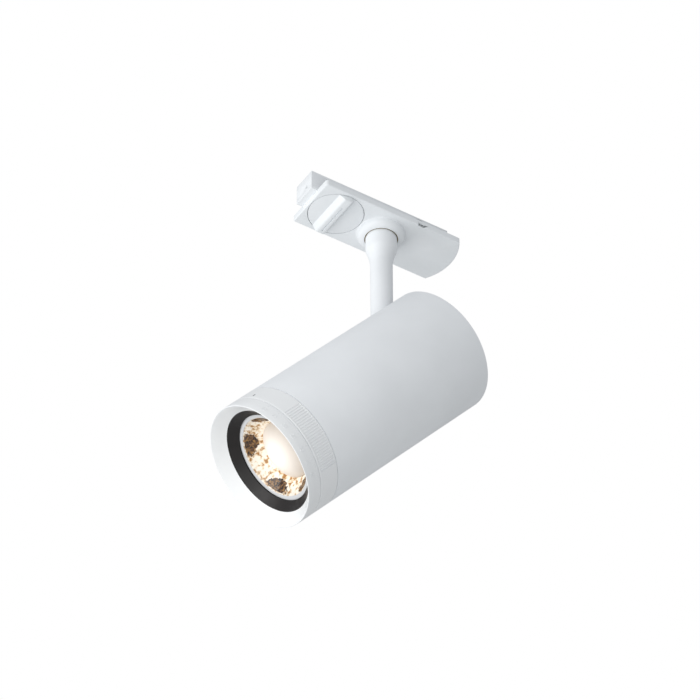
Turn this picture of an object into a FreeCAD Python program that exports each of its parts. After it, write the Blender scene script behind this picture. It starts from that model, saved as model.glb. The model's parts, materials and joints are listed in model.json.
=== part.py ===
import FreeCAD, Part
import math
import os
import re
import Sketcher

# A spotlight that clips under a single-circuit track, in millimetres.
# Frame: origin on the pan axis at the track's underside, X along the track, Z up.
# The adapter locks in the track's slot, the stem pans under it and carries the head on a
# tilt bolt. The head's pieces are drawn pointing straight down with the tilt axis through
# the origin, then turned to the rest angles.

# ---------------------------------------------------------------- driving sizes
SIZES = [
    # the track that the adapter fits
    ("track_width", 35.0, "width of the track, and so of the cover plate"),
    ("slot_width", 16.0, "opening between the track's lips"),
    ("slot_play", 0.2, "gap between the adapter and each lip"),
    ("lip_height", 2.4, "height of the lips above the bearing face"),
    # cover plate
    ("plate_thick", 3.7, "cover plate, bearing face to underside"),
    ("plate_tail", 46.3, "pan axis to the tip of the rounded end"),
    ("tip_radius", 31.0, "radius of the rounded end in plan"),
    ("plate_bevel", 0.5, "bevel round the plate's underside"),
    ("side_wall", 1.65, "plate left beside the knob's recess"),
    ("end_wall", 1.0, "plate left at the end of the knob's recess"),
    ("seat_depth", 0.6, "pocket in the plate that locates the adapter"),
    ("recess_floor", 0.8, "plate left between the knob and that pocket"),
    ("boss_radius", 13.9, "foot of the domed pan boss"),
    ("boss_height", 4.3, "boss below the plate"),
    ("boss_rim", 1.0, "flat rim round the boss's bore"),
    ("boss_curve", 4.4, "radius of the dome's section"),
    ("boss_land", 0.15, "flat between the boss and the knob's recess"),
    ("boss_floor", 1.8, "web over the boss's bore"),
    # adapter body
    ("nose_reach", 3.9, "adapter showing past the plate's square end"),
    ("adapter_height", 13.2, "top of the adapter above the bearing face"),
    ("adapter_wall", 1.2, "wall of the adapter cover"),
    ("cover_bevel", 0.6, "bevel round the cover's top"),
    ("adapter_tail", 39.5, "pan axis to the adapter's far end"),
    ("window_half", 11.1, "half of the rotor's window along the track"),
    ("cavity_start", -8.5, "near end of the wiring cavity"),
    ("cavity_end", 33.0, "far end of the wiring cavity"),
    ("screw_radius", 1.2, "cover screw shank"),
    ("screw_head", 2.1, "cover screw head"),
    ("screw_head_high", 1.4, "height of that head"),
    ("screw_side", 4.6, "cover screws off the centre line"),
    ("screw_margin", 3.3, "cover screws from the adapter's ends"),
    ("nose_screw_side", 2.4, "end-face screw off the centre line"),
    ("nose_screw_rise", 2.0, "end-face screw above the lips"),
    ("nose_screw_long", 3.0, "end-face screw"),
    ("nose_screw_sink", 0.8, "end-face screw below its face"),
    ("terminal_start", 15.5, "near end of the terminal block"),
    ("terminal_long", 16.0, "terminal block along the track"),
    ("terminal_height", 6.5, "terminal block height"),
    ("terminal_room", 5.0, "slot width left beside the terminal block"),
    ("terminal_screw", 1.5, "terminal screw radius"),
    ("earth_thick", 0.4, "earth spring strip"),
    ("earth_bow", 1.6, "how far the earth spring stands off the cover"),
    ("earth_start", 20.0, "wiring cavity's end to the earth spring"),
    ("earth_foot", 2.0, "flat foot at each end of the spring, and its flat crown"),
    ("earth_ramp", 5.0, "slope of the spring"),
    ("earth_wide", 4.0, "width of the spring"),
    ("wire_entry", 1.3, "terminal hole for a lead"),
    # knob and rotor
    ("knob_gap", 0.35, "gap round the knob"),
    ("knob_thick", 2.2, "knob disc"),
    ("bar_wide", 5.5, "finger bar on the knob"),
    ("bar_high", 3.0, "finger bar below the knob's face"),
    ("bar_flank", 1.3, "slope of the finger bar's sides"),
    ("groove_wide", 0.9, "line along the finger bar"),
    ("groove_deep", 0.5, "depth of that line"),
    ("peg_square", 6.0, "square drive from knob to rotor"),
    ("peg_high", 3.0, "length of the square drive"),
    ("rotor_radius", 6.0, "rotor journal in the plate and base"),
    ("core_radius", 5.0, "rotor between the contacts"),
    ("journal_radius", 3.0, "rotor journal in the cover"),
    ("turn_fit", 0.06, "radial clearance of the turning journals"),
    ("rest_gap", 0.1, "gap between faces that turn past each other"),
    ("lug_reach", 10.6, "half length of the locking lug"),
    ("lug_wide", 6.0, "locking lug width"),
    ("lug_thick", 1.8, "locking lug thickness"),
    ("lug_nose", 0.8, "bevel on the lug's ends"),
    ("contact_wide", 4.0, "contact tongue width"),
    ("contact_thick", 0.8, "contact tongue thickness"),
    ("live_level", 6.2, "height of the live contact"),
    ("neutral_level", 8.9, "height of the neutral contact"),
    ("clip_thick", 0.6, "rotor clip"),
    ("clip_radius", 4.6, "rotor clip outside"),
    # stem
    ("bush_wall", 0.55, "pan bush"),
    ("collar_radius", 8.83, "stem collar"),
    ("collar_end", 16.6, "collar's lower end below the track"),
    ("taper_end", 27.0, "end of the taper below the track"),
    ("taper_arc", 40.0, "radius of the taper's section"),
    ("tube_radius", 6.3, "stem tube at the taper"),
    ("tube_foot", 6.1, "stem tube at the knuckle"),
    ("spigot_radius", 4.4, "stem spigot through the plate"),
    ("spigot_top", 5.2, "top of the spigot above the bearing face"),
    ("stem_bore", 3.2, "hole for the leads"),
    ("nut_radius", 6.3, "ring nut and washers outside"),
    ("nut_room", 0.8, "room round the ring nut"),
    ("washer_thick", 0.7, "each washer of the pan stack"),
    ("nut_thick", 2.8, "pan ring nut"),
    ("stop_half", 6.0, "half angle of the pan stop and of its lug"),
    ("stop_play", 0.15, "gap round the pan stop"),
    ("nut_notch", 0.8, "half width of the ring nut's notches"),
    ("nut_notch_deep", 1.2, "depth of those notches"),
    # tilt joint
    ("pivot_drop", 116.4, "tilt axis below the track"),
    ("pan_rest", 71.08, "pan angle of the tilt axis at rest"),
    ("tilt_rest", 44.18, "tilt from straight down at rest"),
    ("eye_radius", 7.0, "knuckle eye"),
    ("eye_half", 6.0, "half width of the knuckle"),
    ("neck_radius", 5.7, "knuckle neck"),
    ("neck_long", 10.0, "pivot to the foot of the stem tube"),
    ("plug_radius", 4.4, "knuckle plug inside the tube"),
    ("plug_long", 9.0, "length of the plug"),
    ("plug_bore", 2.6, "hole for the leads through the plug"),
    ("bolt_radius", 2.5, "tilt bolt shank"),
    ("bolt_head", 4.2, "tilt bolt head and nut radius"),
    ("bolt_head_thick", 2.8, "tilt bolt head"),
    ("bolt_tip", 0.5, "bolt showing past its nut"),
    ("socket_deep", 1.5, "socket in the bolt's head"),
    ("tilt_nut_thick", 4.0, "tilt nut"),
    ("friction_thick", 1.0, "each tilt friction washer"),
    ("cheek_thick", 2.0, "tilt bracket sheet"),
    ("cheek_half", 8.0, "half width of a bracket ear"),
    ("bracket_drop", 14.2, "pivot to the back of the bracket's floor"),
    ("tilt_spring", 0.7, "spring washer under the tilt nut"),
    # head
    ("head_radius", 35.5, "housing outside"),
    ("housing_wall", 2.0, "housing wall"),
    ("front_reach", 95.2, "pivot to the front rim"),
    ("rear_reach", 46.0, "pivot to the rear edge"),
    ("edge_bevel", 0.8, "bevel at the rear edge"),
    ("stem_slot", 6.8, "half width of the tilt slot"),
    ("slot_foot", 0.6, "centre of the slot's end ahead of the pivot"),
    ("cap_thick", 3.0, "rear cap"),
    ("cap_inset", 0.5, "rear cap behind the rear edge"),
    ("assembly_gap", 0.1, "gap between fitted pieces"),
    ("close_fit", 0.02, "gap between pieces pressed or screwed together"),
    ("bolt_fit", 0.05, "gap round bolts and square drives"),
    ("zoom_front", 9.2, "front rim to the first seam"),
    ("zoom_back", 22.0, "front rim to the second seam"),
    ("seam_half", 0.15, "half of each seam"),
    ("ledge_front", 41.0, "front rim to the housing's inner ledge"),
    ("ledge_thick", 2.2, "ledge thickness"),
    ("ledge_deep", 3.5, "ledge height off the inner wall"),
    ("sink_thick", 6.0, "heat sink base"),
    ("fin_count", 9, "heat sink fins"),
    ("fin_thick", 1.6, "fin thickness"),
    ("fin_pitch", 5.0, "fin spacing"),
    ("fin_room", 1.5, "fins to the housing"),
    ("fin_share", 0.72, "most of the inside that a fin reaches to"),
    ("post_radius", 3.0, "standoff radius"),
    ("post_side", 25.0, "standoffs across the head"),
    ("post_rise", 13.0, "standoffs up the head"),
    ("driver_gap", 1.9, "gap between the driver and its neighbours"),
    ("driver_high", 11.5, "driver along the head"),
    ("driver_wall", 1.2, "driver tray wall"),
    ("post_room", 1.0, "driver tray to the standoffs"),
    ("coil_reach", 12.0, "transformer from the centre to its outer face"),
    ("coil_inner", 1.0, "its inner face past the centre"),
    ("coil_half", 6.0, "half its width"),
    ("part_room", 0.8, "room behind the transformer"),
    ("capacitor_radius", 4.0, "capacitor"),
    ("capacitor_place", 8.0, "capacitors off the centre"),
    ("capacitor_side", 5.0, "capacitors apart from the centre line"),
    ("board_thick", 1.6, "circuit board"),
    # optics
    ("ring_thick", 5.13, "zoom ring, outside to bore"),
    ("barrel_wall", 2.3, "lens barrel wall"),
    ("barrel_front", 7.5, "front rim to the barrel"),
    ("barrel_step", 0.95, "depth of the step in the barrel's mouth"),
    ("barrel_step_long", 1.7, "length of that step"),
    ("slide_fit", 0.08, "radial clearance of the sliding and turning optics"),
    ("flange_thick", 2.5, "barrel flange"),
    ("cone_depth", 6.3, "white mouth cone, along the axis"),
    ("rim_wall", 0.5, "front rim outside the white cone"),
    ("rim_edge", 0.4, "rounding of the front rim, along the axis"),
    ("rim_nose", 0.15, "rounding of the front rim, across"),
    ("baffle_depth", 4.4, "black cone, along the axis"),
    ("baffle_wall", 0.65, "black cone wall"),
    ("baffle_lip", 1.1, "black cone lip"),
    ("carrier_wall", 2.4, "lens carrier wall"),
    ("carrier_front", 11.0, "front rim to the carrier at rest"),
    ("carrier_long", 19.0, "lens carrier length"),
    ("travel", 7.0, "lens travel"),
    ("zoom_turn", 90.0, "zoom ring turn for that travel"),
    ("pin_radius", 1.2, "cam pin"),
    ("pin_count", 3, "cam pins"),
    ("pin_play", 0.15, "gap between a cam pin and its groove"),
    ("groove_over", 4.0, "turn that the groove runs past each end of the travel"),
    ("lens_lip", 0.55, "carrier lip in front of the lens"),
    ("lens_flange", 2.0, "lens flange thickness"),
    ("bowl_wall", 1.6, "wall of the lens bowl"),
    ("bowl_foot", 17.8, "radius of the bowl's back end"),
    ("bowl_long", 9.3, "bowl, front to back"),
    ("bowl_arc", 45.0, "radius of the bowl's outer section"),
    ("bowl_inner_arc", 43.0, "radius of the bowl's inner section"),
    ("dome_high", 5.0, "height of the frosted dome"),
    ("dome_rim", 1.2, "straight rim of the dome"),
    ("retainer_thick", 1.2, "snap ring behind the lens"),
    ("retainer_wide", 0.9, "width of that ring"),
    ("led_radius", 9.0, "light-emitting disc"),
    ("led_thick", 0.8, "its thickness"),
    ("led_board_radius", 18.0, "its board"),
    ("holder_thick", 2.4, "its holder"),
    ("holder_radius", 16.0, "holder outside"),
    ("holder_mouth", 2.5, "holder's mouth wider than the light"),
    ("holder_screw_head", 0.8, "height of the holder screws' heads"),
    ("small_screw", 1.0, "small screw shank"),
    ("small_head", 1.4, "small screw head"),
    ("big_head", 2.0, "head of the bracket and cap screws"),
    ("head_high", 1.0, "height of that head"),
    ("clamp_head_high", 1.2, "height of the clamp screws' heads"),
    ("wire_radius", 0.8, "insulated lead"),
    ("lead_side", 2.0, "leads past the light's board"),
]

# ---------------------------------------------------------------- worked-out sizes
RECESS = "(track_width / 2 - side_wall)"
KNOB_RADIUS = f"({RECESS} - knob_gap)"
KNOB_X = f"(0 - {RECESS} - boss_radius - boss_land)"
PLATE_LEFT = f"({KNOB_X} - {RECESS} - end_wall)"
BODY_HALF = "(slot_width / 2 - slot_play)"
TERMINAL_HALF = "((slot_width - terminal_room) / 2)"
NOSE_X = f"({PLATE_LEFT} - nose_reach)"
KNOB_TOP = "(0 - plate_thick + knob_thick)"
ROTOR_FOOT = f"({KNOB_TOP} + rest_gap / 2)"
LUG_LOW = "(lip_height + 2 * rest_gap)"
ROOF_LOW = "(adapter_height - adapter_wall - 1)"
BUSH_RADIUS = "(collar_radius + turn_fit + bush_wall)"
BOSS_LOW = "(plate_thick + boss_height)"
BORE_TOP = "(0 - seat_depth - boss_floor)"
NUT_HOLE = "(nut_radius + nut_room)"
CLIP_LOW = "(adapter_height + rest_gap / 2)"

TILT_OUT = "(eye_half + rest_gap / 2 + friction_thick)"
HOUSING_BORE = "(head_radius - housing_wall)"
INSIDE = f"({HOUSING_BORE} - assembly_gap)"
BARREL_OUT = "(head_radius - ring_thick - slide_fit)"
BARREL_BORE = f"({BARREL_OUT} - barrel_wall)"
CARRIER_OUT = f"({BARREL_BORE} - slide_fit)"
CARRIER_BORE = f"({CARRIER_OUT} - carrier_wall)"
LENS_RADIUS = f"({CARRIER_BORE} - assembly_gap)"
BAFFLE_BORE = f"({LENS_RADIUS} - lens_lip)"
CONE_BORE = f"({BAFFLE_BORE} + baffle_depth + 0.15)"
LEDGE_BACK = "(ledge_front + ledge_thick)"
SINK_BACK = f"({LEDGE_BACK} + sink_thick)"
BRACKET_FRONT = "(0 - bracket_drop - cheek_thick)"
DRIVER_BACK = f"({BRACKET_FRONT} - driver_gap)"
DRIVER_FRONT = f"({DRIVER_BACK} - driver_high)"
PIN_REACH = f"({BARREL_OUT} + barrel_wall * 0.8)"
PIN_DEPTH = "(carrier_front + pin_radius + 0.2)"
GROOVE_RUN = "(travel * groove_over / zoom_turn)"
LENS_DEPTH = "(carrier_front + 0.4)"
CLAMP_CIRCLE = f"({BARREL_OUT} + ({HOUSING_BORE} - {BARREL_OUT}) / 2)"
LEAD_X = "(fin_pitch / 2)"
LEAD_Y = "(0 - led_board_radius - lead_side)"
BOARD_BACK = f"({DRIVER_FRONT} + driver_wall + board_thick)"
COIL_HIGH = "(driver_high - driver_wall - board_thick + assembly_gap - part_room)"

NAMES = {alias for alias, size, meaning in SIZES}
DOC = FreeCAD.newDocument("track_spotlight")
PIECES = []


def make_sheet():
    """The sheet that holds every driving size."""
    sheet = DOC.addObject("Spreadsheet::Sheet", "Sizes")
    for row, (alias, size, meaning) in enumerate(SIZES, start=1):
        sheet.set(f"A{row}", meaning)
        sheet.set(f"B{row}", str(size))
        sheet.setAlias(f"B{row}", alias)
    DOC.recompute()
    return sheet


SHEET = make_sheet()


def bound(text):
    """An expression whose size names point at the sheet's cells."""
    return re.sub(r"[a-z_]+", lambda word: "Sizes." + word[0] if word[0] in NAMES else word[0], str(text))


def number(text):
    """What an expression comes to now."""
    found = SHEET.evalExpression(bound(text))
    return float(getattr(found, "Value", found))


def along(depth):
    """A place in the head, given as a depth behind the front rim."""
    return f"({depth} - front_reach)"


# ---------------------------------------------------------------- frames of the moving bodies
def adapter_frame():
    return FreeCAD.Placement()


def knob_frame():
    return FreeCAD.Placement(FreeCAD.Vector(number(KNOB_X), 0, 0), FreeCAD.Rotation())


def pan_frame():
    return FreeCAD.Placement(FreeCAD.Vector(), FreeCAD.Rotation(number("pan_rest"), 0, 0))


def head_frame():
    turn = FreeCAD.Rotation(number("pan_rest"), 0, number("tilt_rest"))
    return FreeCAD.Placement(FreeCAD.Vector(0, 0, -number("pivot_drop")), turn)


# ---------------------------------------------------------------- drawing and features
def arc_middle(start, end, radius, side):
    """The middle of an arc between two points, bulging right (1) or left (-1) of the way."""
    chord = end - start
    half = chord.Length / 2
    rise = radius - math.sqrt(max(radius * radius - half * half, 0))
    right = FreeCAD.Vector(chord.y, -chord.x, 0).normalize()
    return start + chord * 0.5 + right * (side * rise)


class Piece:
    """One sub-part: a body whose sketches and features are bound to the sheet."""

    def __init__(self, label, frame):
        self.body = DOC.addObject("PartDesign::Body", label)
        self.body.Label = label
        self.frame = frame
        self.planes = {plane.Role: plane for plane in self.body.Origin.OriginFeatures}
        PIECES.append(self)

    def sketch(self, plane, lift="0"):
        """An empty sketch on an origin plane, lifted along the plane's normal."""
        drawing = self.body.newObject("Sketcher::SketchObject", "Sketch")
        drawing.AttachmentSupport = (self.planes[plane], [""])
        drawing.MapMode = "FlatFace"
        drawing.setExpression("AttachmentOffset.Base.z", bound(lift))
        return drawing

    def feature(self, kind, drawing, sizes):
        """A feature on a sketch, with the sizes it is given as expressions."""
        made = self.body.newObject("PartDesign::" + kind, kind)
        made.Profile = drawing
        for name, text in sizes.items():
            made.setExpression(name, bound(text))
        return made

    def pad(self, drawing, length, both=False, back=False):
        made = self.feature("Pad", drawing, {"Length": length})
        made.SideType = "Symmetric" if both else "One side"
        made.Reversed = back
        return self.settled(made)

    def pocket(self, drawing, length, both=False, back=False):
        """A cut against the sketch's normal, or along it with back."""
        DOC.recompute()
        before = self.body.Shape.Volume
        made = self.feature("Pocket", drawing, {"Length": length})
        made.SideType = "Symmetric" if both else "One side"
        made.Reversed = back
        self.settled(made)
        check_cut(self.body, before)
        return made

    def turn(self, drawing):
        made = self.feature("Revolution", drawing, {})
        made.ReferenceAxis = (drawing, ["V_Axis"])
        made.Angle = 360
        return self.settled(made)

    def round_cut(self, drawing):
        """A turned groove about the sketch's upright axis."""
        DOC.recompute()
        before = self.body.Shape.Volume
        made = self.feature("Groove", drawing, {})
        made.ReferenceAxis = (drawing, ["V_Axis"])
        made.Angle = 360
        self.settled(made)
        check_cut(self.body, before)
        return made

    def settled(self, made):
        """Recomputes, and stops if the new feature failed."""
        DOC.recompute()
        if "Invalid" in made.State or "Error" in made.State:
            raise RuntimeError(made.Name + " failed in " + self.body.Label)
        return made

    def circle_of(self, features, count):
        """Repeats features round the body's Z axis."""
        made = self.body.newObject("PartDesign::PolarPattern", "Polar")
        made.Originals = features
        made.Axis = (self.planes["Z_Axis"], [""])
        made.Angle = 360
        made.setExpression("Occurrences", bound(count))
        self.body.Tip = made
        return self.settled(made)

    def cylinder(self, plane, lift, length, radius, across="0", up="0", both=False, back=False):
        """A round pad."""
        drawing = self.sketch(plane, lift)
        circle(drawing, across, up, radius)
        return self.pad(drawing, length, both, back)

    def drill(self, plane, lift, length, radius, across="0", up="0", both=False, back=False):
        """A round cut."""
        drawing = self.sketch(plane, lift)
        circle(drawing, across, up, radius)
        return self.pocket(drawing, length, both, back)

    def bevel(self, size, chosen):
        """A chamfer on the edges that the test chosen picks."""
        DOC.recompute()
        edges = self.body.Shape.Edges
        names = [f"Edge{place + 1}" for place, edge in enumerate(edges) if chosen(edge)]
        base = self.body.Tip
        made = self.body.newObject("PartDesign::Chamfer", "Chamfer")
        made.Base = (base, names)
        made.setExpression("Size", bound(size))
        return self.settled(made)


def check_cut(body, before):
    """A cut that points away from the solid removes nothing, so its volume is compared."""
    if not body.Shape.Volume < before - 1e-6:
        raise RuntimeError("a cut in " + body.Label + " removed nothing")


def hold(drawing, kind, first, first_end, second, second_end, text):
    """A dimension bound to an expression."""
    made = Sketcher.Constraint(kind, first, first_end, second, second_end, number(text))
    place = drawing.addConstraint(made)
    drawing.setExpression(f"Constraints[{place}]", bound(text))


def hold_radius(drawing, edge, text):
    place = drawing.addConstraint(Sketcher.Constraint("Radius", edge, number(text)))
    drawing.setExpression(f"Constraints[{place}]", bound(text))


def circle(drawing, across, up, radius):
    centre = FreeCAD.Vector(number(across), number(up), 0)
    edge = drawing.addGeometry(Part.Circle(centre, FreeCAD.Vector(0, 0, 1), number(radius)))
    hold_radius(drawing, edge, radius)
    hold(drawing, "DistanceX", -1, 1, edge, 3, across)
    hold(drawing, "DistanceY", -1, 1, edge, 3, up)


def outline(drawing, corners):
    """A closed outline. A corner is (across, up), or (across, up, radius, side) when an arc
    leaves it, bulging right (1) or left (-1) of the way round."""
    points = [FreeCAD.Vector(number(corner[0]), number(corner[1]), 0) for corner in corners]
    ends = []
    for place, corner in enumerate(corners):
        start = points[place]
        end = points[(place + 1) % len(points)]
        if len(corner) == 2:
            edge = drawing.addGeometry(Part.LineSegment(start, end))
            ends.append((edge, 1, 2))
            continue
        middle = arc_middle(start, end, number(corner[2]), corner[3])
        edge = drawing.addGeometry(Part.Arc(start, middle, end))
        forward = drawing.getPoint(edge, 1).distanceToPoint(start) < 1e-6
        ends.append((edge, 1, 2) if forward else (edge, 2, 1))
        hold_radius(drawing, edge, corner[2])
    for place, (edge, first, last) in enumerate(ends):
        following = ends[(place + 1) % len(ends)]
        drawing.addConstraint(Sketcher.Constraint("Coincident", edge, last, following[0], following[1]))
        hold(drawing, "DistanceX", -1, 1, edge, first, corners[place][0])
        hold(drawing, "DistanceY", -1, 1, edge, first, corners[place][1])


def rectangle(drawing, left, right, low, high):
    outline(drawing, [(left, low), (right, low), (right, high), (left, high)])


def block(piece, plane, lift, length, left, right, low, high):
    drawing = piece.sketch(plane, lift)
    rectangle(drawing, left, right, low, high)
    return piece.pad(drawing, length)


def slot_cut(piece, plane, lift, length, left, right, low, high, both=False, back=False):
    drawing = piece.sketch(plane, lift)
    rectangle(drawing, left, right, low, high)
    return piece.pocket(drawing, length, both, back)


def turned(label, frame, corners):
    """A piece turned about its Z axis, from corners given as (radius, height)."""
    piece = Piece(label, frame)
    drawing = piece.sketch("XZ_Plane")
    outline(drawing, corners)
    piece.turn(drawing)
    return piece


def washer(label, frame, low, high, inner, outer):
    return turned(label, frame, [(inner, low), (outer, low), (outer, high), (inner, high)])


def group(label, frame, solids):
    """Identical pieces in one node, as separate solids made from the sheet's sizes."""
    piece = DOC.addObject("Part::Feature", label)
    piece.Label = label
    piece.Shape = Part.makeCompound(solids)
    piece.Placement = frame()
    PIECES.append(piece)
    return piece


def rod(radius, start, end):
    """A cylinder between two points."""
    way = end - start
    return Part.makeCylinder(radius, way.Length, start, way)


def screw(hole, head, head_thick, top, tip):
    """A screw from its head's face to its tip, with a driving slot across the head."""
    shank = number(f"{hole} - close_fit")
    head = number(head)
    head_thick = number(head_thick)
    way = (tip - top).normalize()
    shoulder = top + way * head_thick
    made = rod(head, top, shoulder).fuse(rod(shank, shoulder, tip))
    slot = Part.makeBox(head * 3, head * 0.3, head * 0.4)
    slot.translate(FreeCAD.Vector(-head * 1.5, -head * 0.15, -head * 0.2))
    slot.Placement = FreeCAD.Placement(top, FreeCAD.Rotation(FreeCAD.Vector(0, 0, 1), way)).multiply(
        slot.Placement
    )
    return made.cut(slot)


def spot(across, up, height):
    return FreeCAD.Vector(number(across), number(up), number(height))


# ---------------------------------------------------------------- track adapter
def cover_plate():
    """Plate under the track: square at the knob's end, rounded at the other, with the boss."""
    piece = Piece("cover_plate", adapter_frame)
    half = "track_width / 2"
    corner = f"(plate_tail - tip_radius + sqrt(tip_radius ^ 2 - ({half}) ^ 2))"
    drawing = piece.sketch("XY_Plane", "0 - plate_thick")
    sides = [
        (PLATE_LEFT, f"0 - {half}"),
        (corner, f"0 - {half}", "tip_radius", 1),
        (corner, half),
        (PLATE_LEFT, half),
    ]
    outline(drawing, sides)
    piece.pad(drawing, "plate_thick")
    low = -number("plate_thick")
    piece.bevel("plate_bevel", lambda edge: edge.BoundBox.ZMax < low + 1e-4)
    dome = piece.sketch("XZ_Plane")
    rim = f"({BUSH_RADIUS} + boss_rim)"
    section = [
        ("0", "0 - plate_thick / 2"),
        ("0", f"0 - {BOSS_LOW}"),
        (rim, f"0 - {BOSS_LOW}", "boss_curve", 1),
        ("boss_radius", "0 - plate_thick"),
        ("boss_radius", "0 - plate_thick / 2"),
    ]
    outline(dome, section)
    piece.turn(dome)
    piece.drill("XY_Plane", BORE_TOP, "plate_thick + boss_height", BUSH_RADIUS)
    piece.drill("XY_Plane", "1", "plate_thick + boss_height", "spigot_radius + turn_fit")
    piece.drill("XY_Plane", "0 - seat_depth - recess_floor", "plate_thick", RECESS, KNOB_X)
    piece.drill("XY_Plane", "1", "plate_thick + 1", "rotor_radius + 2 * turn_fit", KNOB_X)
    play = "assembly_gap"
    slot_cut(
        piece, "XY_Plane", "0", "seat_depth", f"{PLATE_LEFT} - 1", f"adapter_tail + {play}",
        f"0 - {BODY_HALF} - {play}", f"{BODY_HALF} + {play}",
    )
    for x, y in plate_screws():
        piece.drill("XY_Plane", "0 - seat_depth", "2", "screw_radius", x, y)
    return piece


def plate_screws():
    """Where the cover screws go right through to the plate."""
    inner = f"({KNOB_X} + window_half + (cavity_start - {KNOB_X} - window_half) / 2)"
    outer = "(adapter_tail - screw_margin)"
    return [(x, y) for x in (inner, outer) for y in ("screw_side", "0 - screw_side")]


def nose_screws():
    """Where the cover screws stop in the base, over the knob."""
    x = f"({NOSE_X} + screw_margin)"
    return [(x, y) for y in ("screw_side", "0 - screw_side")]


def adapter_base():
    """Lower half of the adapter, between the track's lips."""
    piece = Piece("adapter_base", adapter_frame)
    low = "(0 - seat_depth)"
    block(
        piece, "XY_Plane", low, "lip_height + seat_depth", NOSE_X, "adapter_tail",
        f"0 - {BODY_HALF}", BODY_HALF,
    )
    piece.drill("XY_Plane", "lip_height + 1", "lip_height + seat_depth + 2", NUT_HOLE)
    stop_peg(piece)
    piece.drill(
        "XY_Plane", "lip_height + 1", "lip_height + seat_depth + 2", "rotor_radius + turn_fit", KNOB_X
    )
    for x, y in plate_screws():
        piece.drill("XY_Plane", "lip_height + 1", "lip_height + seat_depth + 2", "screw_radius", x, y)
    for x, y in nose_screws():
        piece.drill("XY_Plane", "lip_height", "lip_height", "screw_radius", x, y)
    return piece


def stop_peg(piece):
    """Peg that stops the pan, opposite the stop washer's lug at rest."""
    drawing = piece.sketch("XY_Plane", "washer_thick + 0.1")
    sector(drawing, "nut_radius + stop_play", f"{NUT_HOLE} + 2 * stop_play", "pan_rest + 180", "stop_half")
    piece.pad(drawing, "lip_height - washer_thick - 0.1")


def sector(drawing, inner, outer, middle, half):
    """A four-sided stop between two radii, about a direction in degrees."""
    corners = []
    for radius, side in ((inner, "-"), (outer, "-"), (outer, "+"), (inner, "+")):
        angle = f"({middle} {side} {half})"
        corners.append((f"({radius}) * cos({angle})", f"({radius}) * sin({angle})"))
    outline(drawing, corners)


def adapter_cover():
    """Upper half: a bridge over the rotor's window, then a hollow over the wiring."""
    piece = Piece("adapter_cover", adapter_frame)
    block(
        piece, "XY_Plane", "lip_height", "adapter_height - lip_height", NOSE_X, "adapter_tail",
        f"0 - {BODY_HALF}", BODY_HALF,
    )
    top = number("adapter_height")
    piece.bevel("cover_bevel", lambda edge: edge.BoundBox.ZMin > top - 1e-4)
    slot_cut(
        piece, "XZ_Plane", "0", "slot_width * 2", f"{KNOB_X} - window_half", f"{KNOB_X} + window_half",
        "lip_height - 1", ROOF_LOW, both=True,
    )
    slot_cut(
        piece, "XY_Plane", "lip_height", f"{ROOF_LOW} - lip_height", "cavity_start", "cavity_end",
        f"0 - {BODY_HALF} + adapter_wall", f"{BODY_HALF} - adapter_wall", back=True,
    )
    piece.drill("XY_Plane", "adapter_height + 1", "adapter_height", "journal_radius + turn_fit", KNOB_X)
    for x, y in plate_screws() + nose_screws():
        piece.drill("XY_Plane", "adapter_height + 1", "adapter_height", "screw_radius", x, y)
        piece.drill(
            "XY_Plane", "adapter_height", "screw_head_high + assembly_gap", "screw_head + assembly_gap", x, y
        )
    piece.drill(
        "YZ_Plane", NOSE_X, "nose_screw_sink + nose_screw_long + 0.2", "small_screw",
        "0 - nose_screw_side", "lip_height + nose_screw_rise", back=True,
    )
    return piece


def cover_screws():
    """Four screws down to the plate and two short ones down to the base."""
    solids = []
    for x, y in plate_screws():
        solids.append(cover_screw(x, y, "0 - seat_depth - 2"))
    for x, y in nose_screws():
        solids.append(cover_screw(x, y, "0.4"))
    return group("cover_screws", adapter_frame, solids)


def cover_screw(x, y, tip):
    top = spot(x, y, "adapter_height - assembly_gap")
    return screw("screw_radius", "screw_head", "screw_head_high", top, spot(x, y, tip))


def nose_screw():
    """Small screw in the adapter's end face."""
    height = "lip_height + nose_screw_rise"
    top = spot(f"{NOSE_X} + nose_screw_sink", "0 - nose_screw_side", height)
    tip = spot(f"{NOSE_X} + nose_screw_sink + nose_screw_long", "0 - nose_screw_side", height)
    return group("nose_screw", adapter_frame, [rod(number("small_screw - bolt_fit"), top, tip)])


def earth_spring():
    """Bowed strip that earths the lamp on the track's wall."""
    piece = Piece("earth_spring", adapter_frame)
    wall = f"(0 - {BODY_HALF} - close_fit)"
    out = f"({wall} - earth_bow)"
    start = "(cavity_start + earth_start)"
    drawing = piece.sketch("XY_Plane", "lip_height + 3")
    corners = [
        (start, wall),
        (start, f"{wall} - earth_thick"),
        (f"{start} + earth_foot", f"{wall} - earth_thick"),
        (f"{start} + earth_foot + earth_ramp", f"{out} - earth_thick"),
        (f"{start} + 2 * earth_foot + earth_ramp", f"{out} - earth_thick"),
        (f"{start} + 2 * earth_foot + 2 * earth_ramp", f"{wall} - earth_thick"),
        (f"{start} + 3 * earth_foot + 2 * earth_ramp", f"{wall} - earth_thick"),
        (f"{start} + 3 * earth_foot + 2 * earth_ramp", wall),
        (f"{start} + 2 * earth_foot + 2 * earth_ramp", wall),
        (f"{start} + 2 * earth_foot + earth_ramp", out),
        (f"{start} + earth_foot + earth_ramp", out),
        (f"{start} + earth_foot", wall),
    ]
    outline(drawing, corners)
    piece.pad(drawing, "earth_wide")
    return piece


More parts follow.
